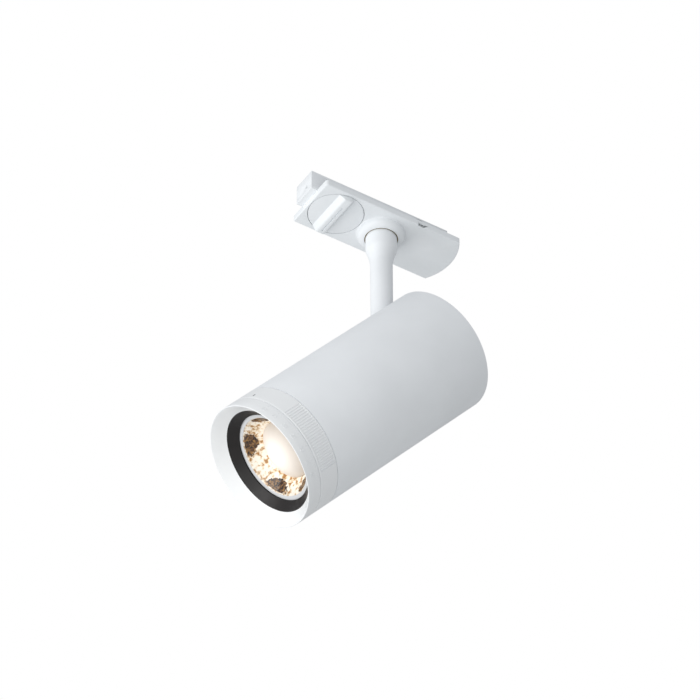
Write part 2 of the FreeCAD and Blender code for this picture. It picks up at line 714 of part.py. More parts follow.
def terminal_block():
    """Insulating block where the track contacts meet the lamp's leads."""
    piece = Piece("terminal_block", adapter_frame)
    end = "(terminal_start + terminal_long)"
    block(
        piece, "XY_Plane", "lip_height", "terminal_height", "terminal_start", end,
        f"0 - {TERMINAL_HALF}", TERMINAL_HALF,
    )
    level = "(lip_height + terminal_height / 2)"
    for y in (f"{TERMINAL_HALF} / 2", f"0 - {TERMINAL_HALF} / 2"):
        piece.drill("YZ_Plane", "terminal_start - 1", "terminal_long + 2", "wire_entry", y, level, back=True)
        for x in terminal_places():
            piece.drill(
                "XY_Plane", "lip_height + terminal_height", "terminal_height / 2", "terminal_screw", x, y
            )
    return piece


def terminal_places():
    return ("terminal_start + terminal_long / 4", "terminal_start + terminal_long * 3 / 4")


def terminal_screws():
    """Clamp screws in the terminal block."""
    radius = number("terminal_screw - bolt_fit")
    solids = []
    for x in terminal_places():
        for y in (f"{TERMINAL_HALF} / 2", f"0 - {TERMINAL_HALF} / 2"):
            top = spot(x, y, "lip_height + terminal_height - 0.5")
            tip = spot(x, y, "lip_height + terminal_height / 2 + 1.4")
            solids.append(rod(radius, top, tip))
    return group("terminal_screws", adapter_frame, solids)


def pan_bush():
    """Olive ring that the stem's collar turns in."""
    outer = f"({BUSH_RADIUS} - close_fit)"
    return washer(
        "pan_bush", adapter_frame, f"0 - {BOSS_LOW} + 0.15", f"{BORE_TOP} - 0.05",
        "collar_radius + turn_fit", outer,
    )


def pan_friction_washer():
    return washer(
        "pan_friction_washer", adapter_frame, "0 - seat_depth", "washer_thick - seat_depth",
        "spigot_radius + turn_fit", "nut_radius",
    )


# ---------------------------------------------------------------- locking knob and rotor
def lock_knob():
    """Flush disc with a finger bar across it and a square drive above."""
    piece = Piece("lock_knob", knob_frame)
    face = "(0 - plate_thick)"
    piece.cylinder("XY_Plane", face, "knob_thick", KNOB_RADIUS)
    flank = "(bar_wide / 2 + bar_flank)"
    drawing = piece.sketch("XZ_Plane")
    section = [
        (f"0 - {flank} - bar_flank", f"{face} + 0.5"),
        (f"0 - {flank} - bar_flank", face),
        ("0 - bar_wide / 2", f"{face} - bar_high"),
        ("bar_wide / 2", f"{face} - bar_high"),
        (flank, face),
        (flank, f"{face} + 0.5"),
    ]
    outline(drawing, section)
    piece.pad(drawing, f"2 * {KNOB_RADIUS}", both=True)
    trim_to_disc(piece)
    slot_cut(
        piece, "XY_Plane", f"{face} - bar_high + groove_deep", "groove_deep + 1",
        "0 - groove_wide / 2", "groove_wide / 2", f"0 - {KNOB_RADIUS} * 0.55", f"{KNOB_RADIUS} * 0.84",
    )
    block(
        piece, "XY_Plane", f"{face} + knob_thick / 2", "knob_thick / 2 + peg_high",
        "0 - peg_square / 2", "peg_square / 2", "0 - peg_square / 2", "peg_square / 2",
    )
    return piece


def trim_to_disc(piece):
    """Takes off what stands past the knob's round edge."""
    drawing = piece.sketch("XZ_Plane")
    low = "(0 - plate_thick - bar_high - 1)"
    rectangle(drawing, KNOB_RADIUS, f"{KNOB_RADIUS} * 2", low, "0")
    piece.round_cut(drawing)


def rotor():
    """Insulating shaft that carries the lug and both contacts."""
    corners = [
        ("0", ROTOR_FOOT),
        ("rotor_radius", ROTOR_FOOT),
        ("rotor_radius", f"{LUG_LOW} + lug_thick + 0.6"),
        ("core_radius", f"{LUG_LOW} + lug_thick + 0.6"),
        ("core_radius", f"{ROOF_LOW} - rest_gap"),
        ("journal_radius", f"{ROOF_LOW} - rest_gap"),
        ("journal_radius", "adapter_height + clip_thick + 0.4"),
        ("0", "adapter_height + clip_thick + 0.4"),
    ]
    piece = turned("rotor", knob_frame, corners)
    play = "(peg_square / 2 + bolt_fit)"
    slot_cut(
        piece, "XY_Plane", ROTOR_FOOT, "peg_high + 0.1", f"0 - {play}", play, f"0 - {play}", play, back=True
    )
    slot_cut(
        piece, "XY_Plane", LUG_LOW, "lug_thick", "0 - lug_wide / 2", "lug_wide / 2",
        "0 - lug_reach", "lug_reach", back=True,
    )
    for level in ("live_level", "neutral_level"):
        slot_cut(
            piece, "XY_Plane", level, "contact_thick", "0 - contact_wide / 2", "contact_wide / 2",
            "0 - core_radius / 2", "lug_reach", back=True,
        )
    drawing = piece.sketch("XZ_Plane")
    rectangle(drawing, "journal_radius - 0.5", "journal_radius + 1", CLIP_LOW, f"{CLIP_LOW} + clip_thick")
    piece.round_cut(drawing)
    return piece




def locking_lug():
    """Steel bar that turns over the track's lips."""
    piece = Piece("locking_lug", knob_frame)
    block(
        piece, "XY_Plane", LUG_LOW, "lug_thick", "0 - lug_wide / 2", "lug_wide / 2",
        "0 - lug_reach", "lug_reach",
    )
    reach = number("lug_reach")
    piece.bevel("lug_nose", lambda edge: abs(abs(edge.CenterOfMass.y) - reach) < 0.1 and upright(edge))
    return piece


def upright(edge):
    """True of an edge along Z."""
    return edge.BoundBox.XLength < 1e-4 and edge.BoundBox.YLength < 1e-4


def contact(label, level):
    """Brass tongue that meets one conductor in the track's wall."""
    piece = Piece(label, knob_frame)
    block(
        piece, "XY_Plane", level, "contact_thick", "0 - contact_wide / 2", "contact_wide / 2",
        "0 - core_radius / 2", "lug_reach",
    )
    return piece


def rotor_clip():
    """Open clip in the rotor's groove, above the cover."""
    piece = washer(
        "rotor_clip", knob_frame, CLIP_LOW, f"{CLIP_LOW} + clip_thick", "journal_radius - 0.5", "clip_radius"
    )
    slot_cut(
        piece, "XY_Plane", CLIP_LOW, "clip_thick", "0", "clip_radius + 1",
        "0 - journal_radius / 2", "journal_radius / 2", back=True,
    )
    return piece


# ---------------------------------------------------------------- stem
def stem():
    """Turned stem: threaded spigot, collar, taper and tube, with a hole for the leads."""
    foot = "(0 - pivot_drop + neck_long)"
    corners = [
        ("stem_bore", "spigot_top"),
        ("stem_bore", f"{foot} + plug_long + 1"),
        ("plug_radius + close_fit", f"{foot} + plug_long + 1"),
        ("plug_radius + close_fit", foot),
        ("tube_foot", foot),
        ("tube_radius", "0 - taper_end", "taper_arc", -1),
        ("collar_radius", "0 - collar_end"),
        ("collar_radius", f"{BORE_TOP} - rest_gap"),
        ("spigot_radius", f"{BORE_TOP} - rest_gap"),
        ("spigot_radius", "spigot_top"),
    ]
    return turned("stem", pan_frame, corners)


def pan_stack():
    """Wave washer, stop washer and ring nut on the spigot."""
    low = "(washer_thick - seat_depth)"
    bore = "spigot_radius + close_fit"
    washer("pan_wave_washer", pan_frame, low, f"{low} + washer_thick", bore, "nut_radius")
    stop = washer(
        "stop_washer", pan_frame, f"{low} + washer_thick", f"{low} + 2 * washer_thick", bore, "nut_radius"
    )
    drawing = stop.sketch("XY_Plane", f"{low} + washer_thick")
    sector(drawing, "nut_radius - 0.5", f"{NUT_HOLE} - stop_play", "0", "stop_half")
    stop.pad(drawing, "washer_thick")
    nut = washer(
        "pan_nut", pan_frame, f"{low} + 2 * washer_thick", f"{low} + 2 * washer_thick + nut_thick", bore,
        "nut_radius - 0.2",
    )
    notch = slot_cut(
        nut, "XY_Plane", f"{low} + 2 * washer_thick + nut_thick", "nut_notch_deep",
        "nut_radius - nut_notch_deep", "nut_radius + 1", "0 - nut_notch", "nut_notch",
    )
    nut.circle_of([notch], "4")


def knuckle():
    """Eye on the tilt bolt, with a neck and a plug up into the stem tube."""
    piece = Piece("knuckle", lambda: head_pivot(number("pan_rest")))
    piece.cylinder("YZ_Plane", "0", "2 * eye_half", "eye_radius", both=True)
    piece.cylinder("XY_Plane", "0", "neck_long", "neck_radius")
    piece.cylinder("XY_Plane", "0", "neck_long + plug_long", "plug_radius")
    piece.drill("XY_Plane", "neck_long + plug_long", "plug_long + 3", "plug_bore")
    piece.drill("XZ_Plane", "0", "eye_radius + 2", "2", "0", "neck_long - 1.5", back=True)
    piece.drill("YZ_Plane", "0", "4 * eye_half", "bolt_radius + turn_fit", both=True)
    return piece


def head_pivot(turn):
    """Upright frame at the tilt axis."""
    return FreeCAD.Placement(FreeCAD.Vector(0, 0, -number("pivot_drop")), FreeCAD.Rotation(turn, 0, 0))


def stem_leads():
    """The two supply leads inside the stem."""
    radius = number("wire_radius")
    solids = []
    for side in (-1, 1):
        top = FreeCAD.Vector(side * radius * 1.4, 0, number("spigot_top") + 3)
        low = FreeCAD.Vector(side * radius * 1.4, 0, -number("pivot_drop - neck_long") + 1)
        solids.append(rod(radius, top, low))
    return group("stem_leads", pan_frame, solids)


# ---------------------------------------------------------------- tilt joint inside the head
def tilt_bracket():
    """Bent bracket: a floor on the standoffs and two ears beside the knuckle."""
    piece = Piece("tilt_bracket", head_frame)
    out = f"({TILT_OUT} + cheek_thick)"
    reach = "(post_side + post_radius)"
    high = "(post_rise + post_radius)"
    block(
        piece, "XY_Plane", BRACKET_FRONT, "cheek_thick", f"0 - {reach}", reach, f"0 - {high}", high
    )
    for left, right in ((TILT_OUT, out), (f"0 - {out}", f"0 - {TILT_OUT}")):
        block(
            piece, "XY_Plane", "0 - bracket_drop", "bracket_drop", left, right,
            "0 - cheek_half", "cheek_half",
        )
    piece.cylinder("YZ_Plane", f"0 - {out}", f"2 * {out}", "cheek_half")
    slot_cut(
        piece, "XZ_Plane", "0", "4 * cheek_half", f"0 - {TILT_OUT}", TILT_OUT,
        "0 - bracket_drop", "cheek_half + 2", both=True,
    )
    piece.drill("YZ_Plane", "0", "4 * eye_half", "bolt_radius + bolt_fit", both=True)
    for x, y in post_places():
        piece.drill("XY_Plane", "0 - bracket_drop + 1", "cheek_thick + 2", "small_screw + 0.1", x, y)
    return piece


def post_places():
    places = []
    for x in ("post_side", "0 - post_side"):
        for y in ("post_rise", "0 - post_rise"):
            places.append((x, y))
    return places


def standoffs():
    """Four posts from the heat sink to the bracket."""
    solids = []
    for x, y in post_places():
        solids.append(rod(number("post_radius"), spot(x, y, along(SINK_BACK)), spot(x, y, BRACKET_FRONT)))
    return group("standoffs", head_frame, solids)


def bracket_screws():
    """Screws through the bracket's floor, where no cap post stands."""
    solids = []
    for x, y in post_places():
        if y == "post_rise":
            top = spot(x, y, "0 - bracket_drop + 1")
            tip = spot(x, y, f"{BRACKET_FRONT} + 0.01")
            solids.append(screw("small_screw", "big_head", "head_high", top, tip))
    return group("bracket_screws", head_frame, solids)


def tilt_bolt():
    """Shouldered bolt on the tilt axis."""
    piece = Piece("tilt_bolt", head_frame)
    out = f"({TILT_OUT} + cheek_thick)"
    piece.cylinder(
        "YZ_Plane", f"0 - {out}", f"2 * {out} + tilt_spring + tilt_nut_thick + bolt_tip", "bolt_radius"
    )
    piece.cylinder("YZ_Plane", f"0 - {out}", "bolt_head_thick", "bolt_head", back=True)
    piece.drill("YZ_Plane", f"0 - {out} - bolt_head_thick", "socket_deep", "bolt_head / 2", back=True)
    return piece


def tilt_washers():
    """Friction washers either side of the knuckle."""
    solids = []
    inner = number("bolt_radius + bolt_fit")
    outer = number("eye_radius")
    start = number("eye_half + rest_gap / 2")
    thick = number("friction_thick")
    for side in (-1, 1):
        near = FreeCAD.Vector(side * start, 0, 0)
        far = FreeCAD.Vector(side * (start + thick), 0, 0)
        solids.append(rod(outer, near, far).cut(rod(inner, near, far)))
    return group("tilt_washers", head_frame, solids)


def tilt_spring_washer():
    piece = Piece("tilt_spring_washer", head_frame)
    low = f"({TILT_OUT} + cheek_thick)"
    piece.cylinder("YZ_Plane", low, "tilt_spring", "bolt_head")
    piece.drill("YZ_Plane", low, "tilt_spring", "bolt_radius + bolt_fit", back=True)
    return piece


def tilt_nut():
    """Six-sided nut."""
    piece = Piece("tilt_nut", head_frame)
    low = f"({TILT_OUT} + cheek_thick + tilt_spring)"
    drawing = piece.sketch("YZ_Plane", low)
    corners = [(f"bolt_head * cos({60 * turn})", f"bolt_head * sin({60 * turn})") for turn in range(6)]
    outline(drawing, corners)
    piece.pad(drawing, "tilt_nut_thick")
    piece.drill("YZ_Plane", low, "tilt_nut_thick", "bolt_radius + close_fit / 2", back=True)
    return piece


# ---------------------------------------------------------------- housing
def housing():
    """Tube with a ledge inside and the slot that the stem tilts through."""
    front = along("(zoom_back + seam_half)")
    ledge = f"({HOUSING_BORE} - ledge_deep)"
    corners = [
        (HOUSING_BORE, front),
        ("head_radius", front),
        ("head_radius", "rear_reach - edge_bevel"),
        ("head_radius - edge_bevel", "rear_reach"),
        (HOUSING_BORE, "rear_reach"),
        (HOUSING_BORE, along(LEDGE_BACK)),
        (ledge, along(LEDGE_BACK)),
        (ledge, along("ledge_front")),
        (HOUSING_BORE, along("ledge_front")),
    ]
    piece = turned("housing", head_frame, corners)
    cut_stem_slot(piece, "0 - slot_foot")
    clamp_holes(piece, "ledge_front", "ledge_thick")
    return piece


def cut_stem_slot(piece, start):
    """The stem's slot, from a round end to past the rear edge."""
    slot_cut(
        piece, "XZ_Plane", "0", "head_radius + 1", "0 - stem_slot", "stem_slot", start, "rear_reach + 1"
    )
    piece.drill("XZ_Plane", "0", "head_radius + 1", "stem_slot", "0", start)


def clamp_holes(piece, depth, length):
    """Holes for the screws that clamp barrel, ledge and heat sink together."""
    hole = piece.drill(
        "XY_Plane", along(depth), length, "small_screw", "0", f"0 - {CLAMP_CIRCLE}", back=True
    )
    piece.circle_of([hole], "3")


def clamp_screws():
    solids = []
    circle_radius = number(CLAMP_CIRCLE)
    top = number(along("(ledge_front - flange_thick - clamp_head_high)"))
    tip = number(along(f"({LEDGE_BACK} + sink_thick / 2)"))
    for turn in range(3):
        angle = math.radians(-90 + 120 * turn)
        x = circle_radius * math.cos(angle)
        y = circle_radius * math.sin(angle)
        head = FreeCAD.Vector(x, y, top)
        foot = FreeCAD.Vector(x, y, tip)
        solids.append(screw("small_screw", "small_head", "clamp_head_high", head, foot))
    return group("clamp_screws", head_frame, solids)


def rear_cap():
    """Disc in the rear end, slotted from its centre for the stem."""
    high = "(rear_reach - cap_inset)"
    low = f"({high} - cap_thick)"
    piece = turned("rear_cap", head_frame, [("0", low), (INSIDE, low), (INSIDE, high), ("0", high)])
    slot_cut(
        piece, "XY_Plane", high, "cap_thick", "0 - stem_slot", "stem_slot", "0", "head_radius"
    )
    piece.drill("XY_Plane", high, "cap_thick", "stem_slot")
    for x, y in cap_places():
        piece.drill("XY_Plane", high, "cap_thick", "small_screw", x, y)
    return piece


def cap_places():
    return [("post_side", "0 - post_rise"), ("0 - post_side", "0 - post_rise")]


def cap_posts():
    """Two long posts from the bracket to the rear cap."""
    solids = []
    for x, y in cap_places():
        low = spot(x, y, "0 - bracket_drop")
        high = spot(x, y, "rear_reach - cap_inset - cap_thick")
        post = rod(number("post_radius") - 0.4, low, high)
        hole = rod(number("small_screw"), high - FreeCAD.Vector(0, 0, 5), high)
        solids.append(post.cut(hole))
    return group("cap_posts", head_frame, solids)


def cap_screws():
    solids = []
    for x, y in cap_places():
        top = spot(x, y, "rear_reach - cap_inset + 1")
        tip = spot(x, y, "rear_reach - cap_inset - cap_thick - 4")
        solids.append(screw("small_screw", "big_head", "head_high", top, tip))
    return group("cap_screws", head_frame, solids)


# ---------------------------------------------------------------- light engine and driver
def heat_sink():
    """Round base with a row of fins towards the driver."""
    piece = Piece("heat_sink", head_frame)
    piece.cylinder("XY_Plane", along(LEDGE_BACK), "sink_thick", INSIDE)
    back = number(along(SINK_BACK))
    height = number(DRIVER_FRONT) - number("driver_gap") - back
    if height <= 0:
        raise RuntimeError("no room for the fins between the light and the driver")
    count = int(number("fin_count"))
    for place in range(count):
        middle = f"(({place} - (fin_count - 1) / 2) * fin_pitch)"
        end = f"sqrt(({INSIDE} - fin_room) ^ 2 - (abs({middle}) + fin_thick / 2) ^ 2)"
        reach = f"min({end}; {INSIDE} * fin_share)"
        block(
            piece, "XY_Plane", along(SINK_BACK), f"{DRIVER_FRONT} - driver_gap - {along(SINK_BACK)}",
            f"{middle} - fin_thick / 2", f"{middle} + fin_thick / 2", f"0 - {reach}", reach,
        )
    clamp_holes(piece, LEDGE_BACK, "sink_thick")
    lead_hole(piece, along(LEDGE_BACK), "sink_thick")
    for x in ("holder_radius * 0.8", "0 - holder_radius * 0.8"):
        piece.drill("XY_Plane", along(LEDGE_BACK), "3", "small_screw", x, "0", back=True)
    return piece




def lead_hole(piece, lift, length):
    """Hole for the light's leads, between two fins."""
    piece.drill("XY_Plane", lift, length, "wire_radius * 2 + 0.4", LEAD_X, LEAD_Y, back=True)


def led_board():
    """Metal-cored board on the heat sink."""
    front = f"({LEDGE_BACK} - board_thick)"
    piece = Piece("led_board", head_frame)
    piece.cylinder("XY_Plane", along(front), "board_thick", "led_board_radius")
    for x in ("holder_radius * 0.8", "0 - holder_radius * 0.8"):
        piece.drill("XY_Plane", along(front), "board_thick", "small_screw", x, "0", back=True)
    return piece


def led_emitter():
    """Yellow light-emitting disc."""
    back = f"({LEDGE_BACK} - board_thick)"
    piece = Piece("led_emitter", head_frame)
    piece.cylinder("XY_Plane", along(back), "led_thick", "led_radius", back=True)
    return piece


def led_holder():
    """White ring that presses the light down."""
    back = f"({LEDGE_BACK} - board_thick)"
    low = along(f"({back} - holder_thick)")
    corners = [
        ("led_radius + holder_mouth", low),
        ("holder_radius", low),
        ("holder_radius", along(back)),
        ("led_radius + 0.3", along(back)),
    ]
    piece = turned("led_holder", head_frame, corners)
    for x in ("holder_radius * 0.8", "0 - holder_radius * 0.8"):
        piece.drill("XY_Plane", low, "holder_thick", "small_screw", x, "0", back=True)
    return piece


def holder_screws():
    solids = []
    front = f"({LEDGE_BACK} - board_thick - holder_thick)"
    for x in ("holder_radius * 0.8", "0 - holder_radius * 0.8"):
        top = spot(x, "0", along(f"({front} - holder_screw_head)"))
        tip = spot(x, "0", along(f"({LEDGE_BACK} + 2.8)"))
        solids.append(screw("small_screw", "small_head + 0.4", "holder_screw_head", top, tip))
    return group("holder_screws", head_frame, solids)


def led_leads():
    """Two leads from the board's edge back through the heat sink to the driver."""
    radius = number("wire_radius")
    solids = []
    for side in (-1, 1):
        x = number(LEAD_X) + side * radius * 1.02
        y = number(LEAD_Y)
        front = number(along(f"({LEDGE_BACK} - board_thick)")) - radius - number("close_fit")
        pad = FreeCAD.Vector(x, y + number("led_board_radius") * 0.2, front)
        bend = FreeCAD.Vector(x, y, front)
        end = FreeCAD.Vector(x, y, number(DRIVER_FRONT) - 0.1)
        lead = rod(radius, pad, bend).fuse([rod(radius, bend, end), Part.makeSphere(radius, bend)])
        solids.append(lead)
    return group("led_leads", head_frame, solids)


def driver_tray():
    """Open tray that holds the driver's board between the standoffs."""
    piece = Piece("driver_tray", head_frame)
    half = "(post_side - post_radius - post_room)"
    tall = "(post_rise + post_radius - post_room)"
    block(
        piece, "XY_Plane", DRIVER_FRONT, "driver_high", f"0 - {half}", half, f"0 - {tall}", tall
    )
    inner = f"({half} - driver_wall)"
    inner_tall = f"({tall} - driver_wall)"
    slot_cut(
        piece, "XY_Plane", DRIVER_BACK, "driver_high - driver_wall", f"0 - {inner}", inner,
        f"0 - {inner_tall}", inner_tall,
    )
    return piece


def driver_board():
    """Circuit board of the driver, standing on the tray's floor."""
    piece = Piece("driver_board", head_frame)
    half = "(post_side - post_radius - post_room - driver_wall - assembly_gap)"
    tall = "(post_rise + post_radius - post_room - driver_wall - assembly_gap)"
    block(
        piece, "XY_Plane", f"{DRIVER_FRONT} + driver_wall", "board_thick", f"0 - {half}", half,
        f"0 - {tall}", tall,
    )
    return piece


def driver_transformer():
    piece = Piece("driver_transformer", head_frame)
    block(
        piece, "XY_Plane", BOARD_BACK, COIL_HIGH, "0 - coil_reach", "coil_inner", "0 - coil_half", "coil_half"
    )
    return piece


def driver_capacitors():
    """Two round capacitors beside the transformer."""
    solids = []
    length = number(f"{COIL_HIGH} - 0.5")
    for side in (-1, 1):
        base = spot("capacitor_place", f"{side} * capacitor_side", BOARD_BACK)
        solids.append(Part.makeCylinder(number("capacitor_radius"), length, base))
    return group("driver_capacitors", head_frame, solids)


# ---------------------------------------------------------------- barrel, rings and optics
def lens_barrel():
    """Fixed tube that the zoom ring turns on and the lens slides in."""
    step = f"({BARREL_BORE} + barrel_step)"
    corners = [
        (step, along("barrel_front")),
        (BARREL_OUT, along("barrel_front")),
        (BARREL_OUT, along("(ledge_front - flange_thick)")),
        (INSIDE, along("(ledge_front - flange_thick)")),
        (INSIDE, along("ledge_front")),
        (BARREL_BORE, along("ledge_front")),
        (BARREL_BORE, along("(barrel_front + barrel_step_long)")),
        (step, along("(barrel_front + barrel_step_long)")),
    ]
    piece = turned("lens_barrel", head_frame, corners)
    clamp_holes(piece, "(ledge_front - flange_thick)", "flange_thick")
    half = "(pin_radius + pin_play)"
    drawing = piece.sketch("XZ_Plane", "0")
    low = along(f"({PIN_DEPTH} - {half})")
    high = along(f"({PIN_DEPTH} + travel + {half})")
    rectangle(drawing, f"0 - {half}", half, low, high)
    way = piece.pocket(drawing, "head_radius")
    piece.circle_of([way], "pin_count")
    return piece


def front_ring():
    """Front trim ring with the white mouth cone."""
    seat = f"({BARREL_OUT} + assembly_gap)"
    back = along("(zoom_front - seam_half)")
    corners = [
        (CONE_BORE, along("cone_depth")),
        ("head_radius - rim_wall", along("0")),
        ("head_radius - rim_nose", along("0")),
        ("head_radius", along("rim_edge")),
        ("head_radius", back),
        (seat, back),
        (seat, along("cone_depth")),
    ]
    return turned("front_ring", head_frame, corners)


def baffle():
    """Thin black cone behind the white one."""
    near = "(cone_depth + 0.05)"
    lip = f"({near} + baffle_lip)"
    far = f"({near} + baffle_depth)"
    slope = f"(({CONE_BORE} - {BAFFLE_BORE}) / baffle_depth)"
    corners = [
        (CONE_BORE, along(near)),
        (BARREL_OUT, along(near)),
        (BARREL_OUT, along(lip)),
        (f"{CONE_BORE} - {slope} * baffle_lip + baffle_wall", along(lip)),
        (f"{BAFFLE_BORE} + baffle_wall", along(far)),
        (BAFFLE_BORE, along(far)),
    ]
    return turned("baffle", head_frame, corners)


def zoom_ring():
    """Ring between the two seams, with a helical groove inside for each cam pin."""
    bore = f"({BARREL_OUT} + slide_fit)"
    low = along("(zoom_front + seam_half)")
    high = along("(zoom_back - seam_half)")
    corners = [(bore, low), ("head_radius", low), ("head_radius", high), (bore, high)]
    piece = turned("zoom_ring", head_frame, corners)
    half = "(pin_radius + pin_play)"
    start = f"({along(PIN_DEPTH)} - {GROOVE_RUN})"
    drawing = piece.sketch("YZ_Plane")
    ahead = FreeCAD.Rotation(FreeCAD.Vector(0, 1, 0), number("groove_over"))
    drawing.AttachmentOffset = FreeCAD.Placement(FreeCAD.Vector(), ahead)
    rectangle(
        drawing, f"{bore} - 1", f"{PIN_REACH} + pin_play + 0.1", f"{start} - {half}", f"{start} + {half}"
    )
    DOC.recompute()
    before = piece.body.Shape.Volume
    groove = piece.feature(
        "SubtractiveHelix", drawing,
        {"Pitch": "travel * 360 / zoom_turn", "Height": f"travel + 2 * {GROOVE_RUN}"},
    )
    groove.ReferenceAxis = (drawing, ["V_Axis"])
    groove.Mode = "pitch-height-angle"
    groove.LeftHanded = True
    piece.settled(groove)
    check_cut(piece.body, before)
    piece.circle_of([groove], "pin_count")
    return piece


def lens_carrier():
    """Black sleeve that holds the lens and slides in the barrel."""
    lip = f"({BAFFLE_BORE} + 0.1)"
    low = along("carrier_front")
    high = along("(carrier_front + carrier_long)")
    corners = [
        (lip, low),
        (CARRIER_OUT, low),
        (CARRIER_OUT, high),
        (CARRIER_BORE, high),
        (CARRIER_BORE, along(f"({LENS_DEPTH})")),
        (lip, along(f"({LENS_DEPTH})")),
    ]
    piece = turned("lens_carrier", head_frame, corners)
    hole = piece.drill("XZ_Plane", "0", "head_radius", "pin_radius", "0", along(PIN_DEPTH))
    piece.circle_of([hole], "pin_count")
    return piece


def cam_pins():
    """Pins from the carrier through the barrel into the zoom ring's grooves."""
    solids = []
    inner = number(LENS_RADIUS) + number("assembly_gap") + 0.3
    height = number(along(PIN_DEPTH))
    count = int(number("pin_count"))
    for place in range(count):
        angle = math.radians(90 + 360 * place / count)
        way = FreeCAD.Vector(math.cos(angle), math.sin(angle), 0)
        start = way * inner + FreeCAD.Vector(0, 0, height)
        end = way * number(PIN_REACH) + FreeCAD.Vector(0, 0, height)
        solids.append(rod(number("pin_radius - close_fit / 2"), start, end))
    return group("cam_pins", head_frame, solids)


def lens():
    """Clear bowl with a flange, open at its back for the light."""
    low = LENS_DEPTH
    flange = f"({low} + lens_flange)"
    back = f"({low} + bowl_long)"
    mouth = f"({BAFFLE_BORE} - 2)"
    corners = [
        (mouth, along(low)),
        (LENS_RADIUS, along(low)),
        (LENS_RADIUS, along(flange)),
        (f"{mouth} + bowl_wall * 0.8", along(flange), "bowl_arc", 1),
        ("bowl_foot", along(back)),
        ("bowl_foot - bowl_wall", along(back), "bowl_inner_arc", -1),
    ]
    return turned("lens", head_frame, corners)


def diffuser():
    """Frosted dome at the bottom of the bowl."""
    back = f"({LENS_DEPTH} + bowl_long)"
    edge = "(bowl_foot - bowl_wall - 0.1)"
    crown = f"({back} - dome_rim - dome_high)"
    radius = f"({edge} ^ 2 + dome_high ^ 2) / (2 * dome_high)"
    corners = [
        ("0", along(back)),
        ("0", along(crown), radius, 1),
        (edge, along(f"({back} - dome_rim)")),
        (edge, along(back)),
    ]
    return turned("diffuser", head_frame, corners)


def lens_retainer():
    """Snap ring behind the lens flange."""
    low = f"({LENS_DEPTH} + lens_flange)"
    return washer(
        "lens_retainer", head_frame, along(low), along(f"({low} + retainer_thick)"),
        f"{CARRIER_BORE} - retainer_wide", f"{CARRIER_BORE} - close_fit",
    )


# ---------------------------------------------------------------- the whole lamp
def build():
    cover_plate()
    adapter_base()
    adapter_cover()
    cover_screws()
    nose_screw()
    earth_spring()
    terminal_block()
    terminal_screws()
    pan_bush()
    pan_friction_washer()
    lock_knob()
    rotor()
    locking_lug()
    contact("live_contact", "live_level")
    contact("neutral_contact", "neutral_level")
    rotor_clip()
    stem()
    pan_stack()
    knuckle()
    stem_leads()
    tilt_bracket()
    standoffs()
    bracket_screws()
    tilt_bolt()
    tilt_washers()
    tilt_spring_washer()
    tilt_nut()
    housing()
    clamp_screws()
    rear_cap()
    cap_posts()
    cap_screws()
    heat_sink()
    led_board()
    led_emitter()
    led_holder()
    holder_screws()
    led_leads()
    driver_tray()
    driver_board()
    driver_transformer()
    driver_capacitors()
    lens_barrel()
    front_ring()
    baffle()
    zoom_ring()
    lens_carrier()
    cam_pins()
    lens()
    diffuser()
    lens_retainer()


def write_parts():
    """Checks every object, then writes each sub-part's shape."""
    for piece in PIECES:
        if isinstance(piece, Piece):
            piece.body.Placement = piece.frame()
    DOC.recompute()
    for made in DOC.Objects:
        if "Invalid" in made.State or "Error" in made.State:
            raise RuntimeError(made.Label + " failed: " + str(made.State))
    bodies = [piece.body if isinstance(piece, Piece) else piece for piece in PIECES]
    for body in bodies:
        if body.Shape.isNull() or not body.Shape.isValid():
            raise RuntimeError(body.Label + " has no sound shape")
    os.makedirs("parts", exist_ok=True)
    for body in bodies:
        body.Shape.exportStep("parts/" + body.Label + ".step")
        print(body.Label, len(body.Shape.Solids), round(body.Shape.Volume, 1))


build()
write_parts()
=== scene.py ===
import json
import math

import bpy
from mathutils import Matrix, Vector


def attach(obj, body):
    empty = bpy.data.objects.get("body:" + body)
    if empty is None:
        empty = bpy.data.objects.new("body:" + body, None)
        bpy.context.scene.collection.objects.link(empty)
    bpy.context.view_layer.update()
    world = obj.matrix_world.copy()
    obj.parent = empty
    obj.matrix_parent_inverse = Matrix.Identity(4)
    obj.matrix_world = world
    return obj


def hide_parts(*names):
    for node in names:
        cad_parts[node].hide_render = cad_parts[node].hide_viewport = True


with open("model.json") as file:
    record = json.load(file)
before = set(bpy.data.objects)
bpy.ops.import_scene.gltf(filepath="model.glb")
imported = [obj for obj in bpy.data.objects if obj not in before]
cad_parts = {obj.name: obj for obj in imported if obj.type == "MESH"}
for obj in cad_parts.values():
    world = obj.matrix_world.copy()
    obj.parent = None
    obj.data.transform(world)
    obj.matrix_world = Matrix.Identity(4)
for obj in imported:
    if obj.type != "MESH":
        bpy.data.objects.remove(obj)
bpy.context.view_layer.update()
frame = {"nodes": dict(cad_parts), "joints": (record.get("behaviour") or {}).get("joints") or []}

# A white track spotlight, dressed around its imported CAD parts. Sizes are written in
# millimetres and turned to metres by MM. Head pieces are modelled pointing straight down
# with the tilt axis through the origin, then turned to the head's rest angles.

MM = 0.001
NODES = frame["nodes"]
JOINTS = {joint["name"]: joint for joint in frame["joints"]}


# ---------------------------------------------------------------- camera, light and floor
VIEW_BACK = Vector((-0.40278, -0.63148, -0.66262))  # from the lamp towards the camera
CAMERA_PLACE = Vector((-0.7324, -1.1160, -1.2708))
LENS_LENGTH = 169.7  # millimetres, on a 36 mm wide sensor
SENSOR_WIDTH = 36
FLOOR_HEIGHT = -2.4
FLOOR_SIZE = 40
LIGHT_AIM = Vector((0, 0, -0.08))


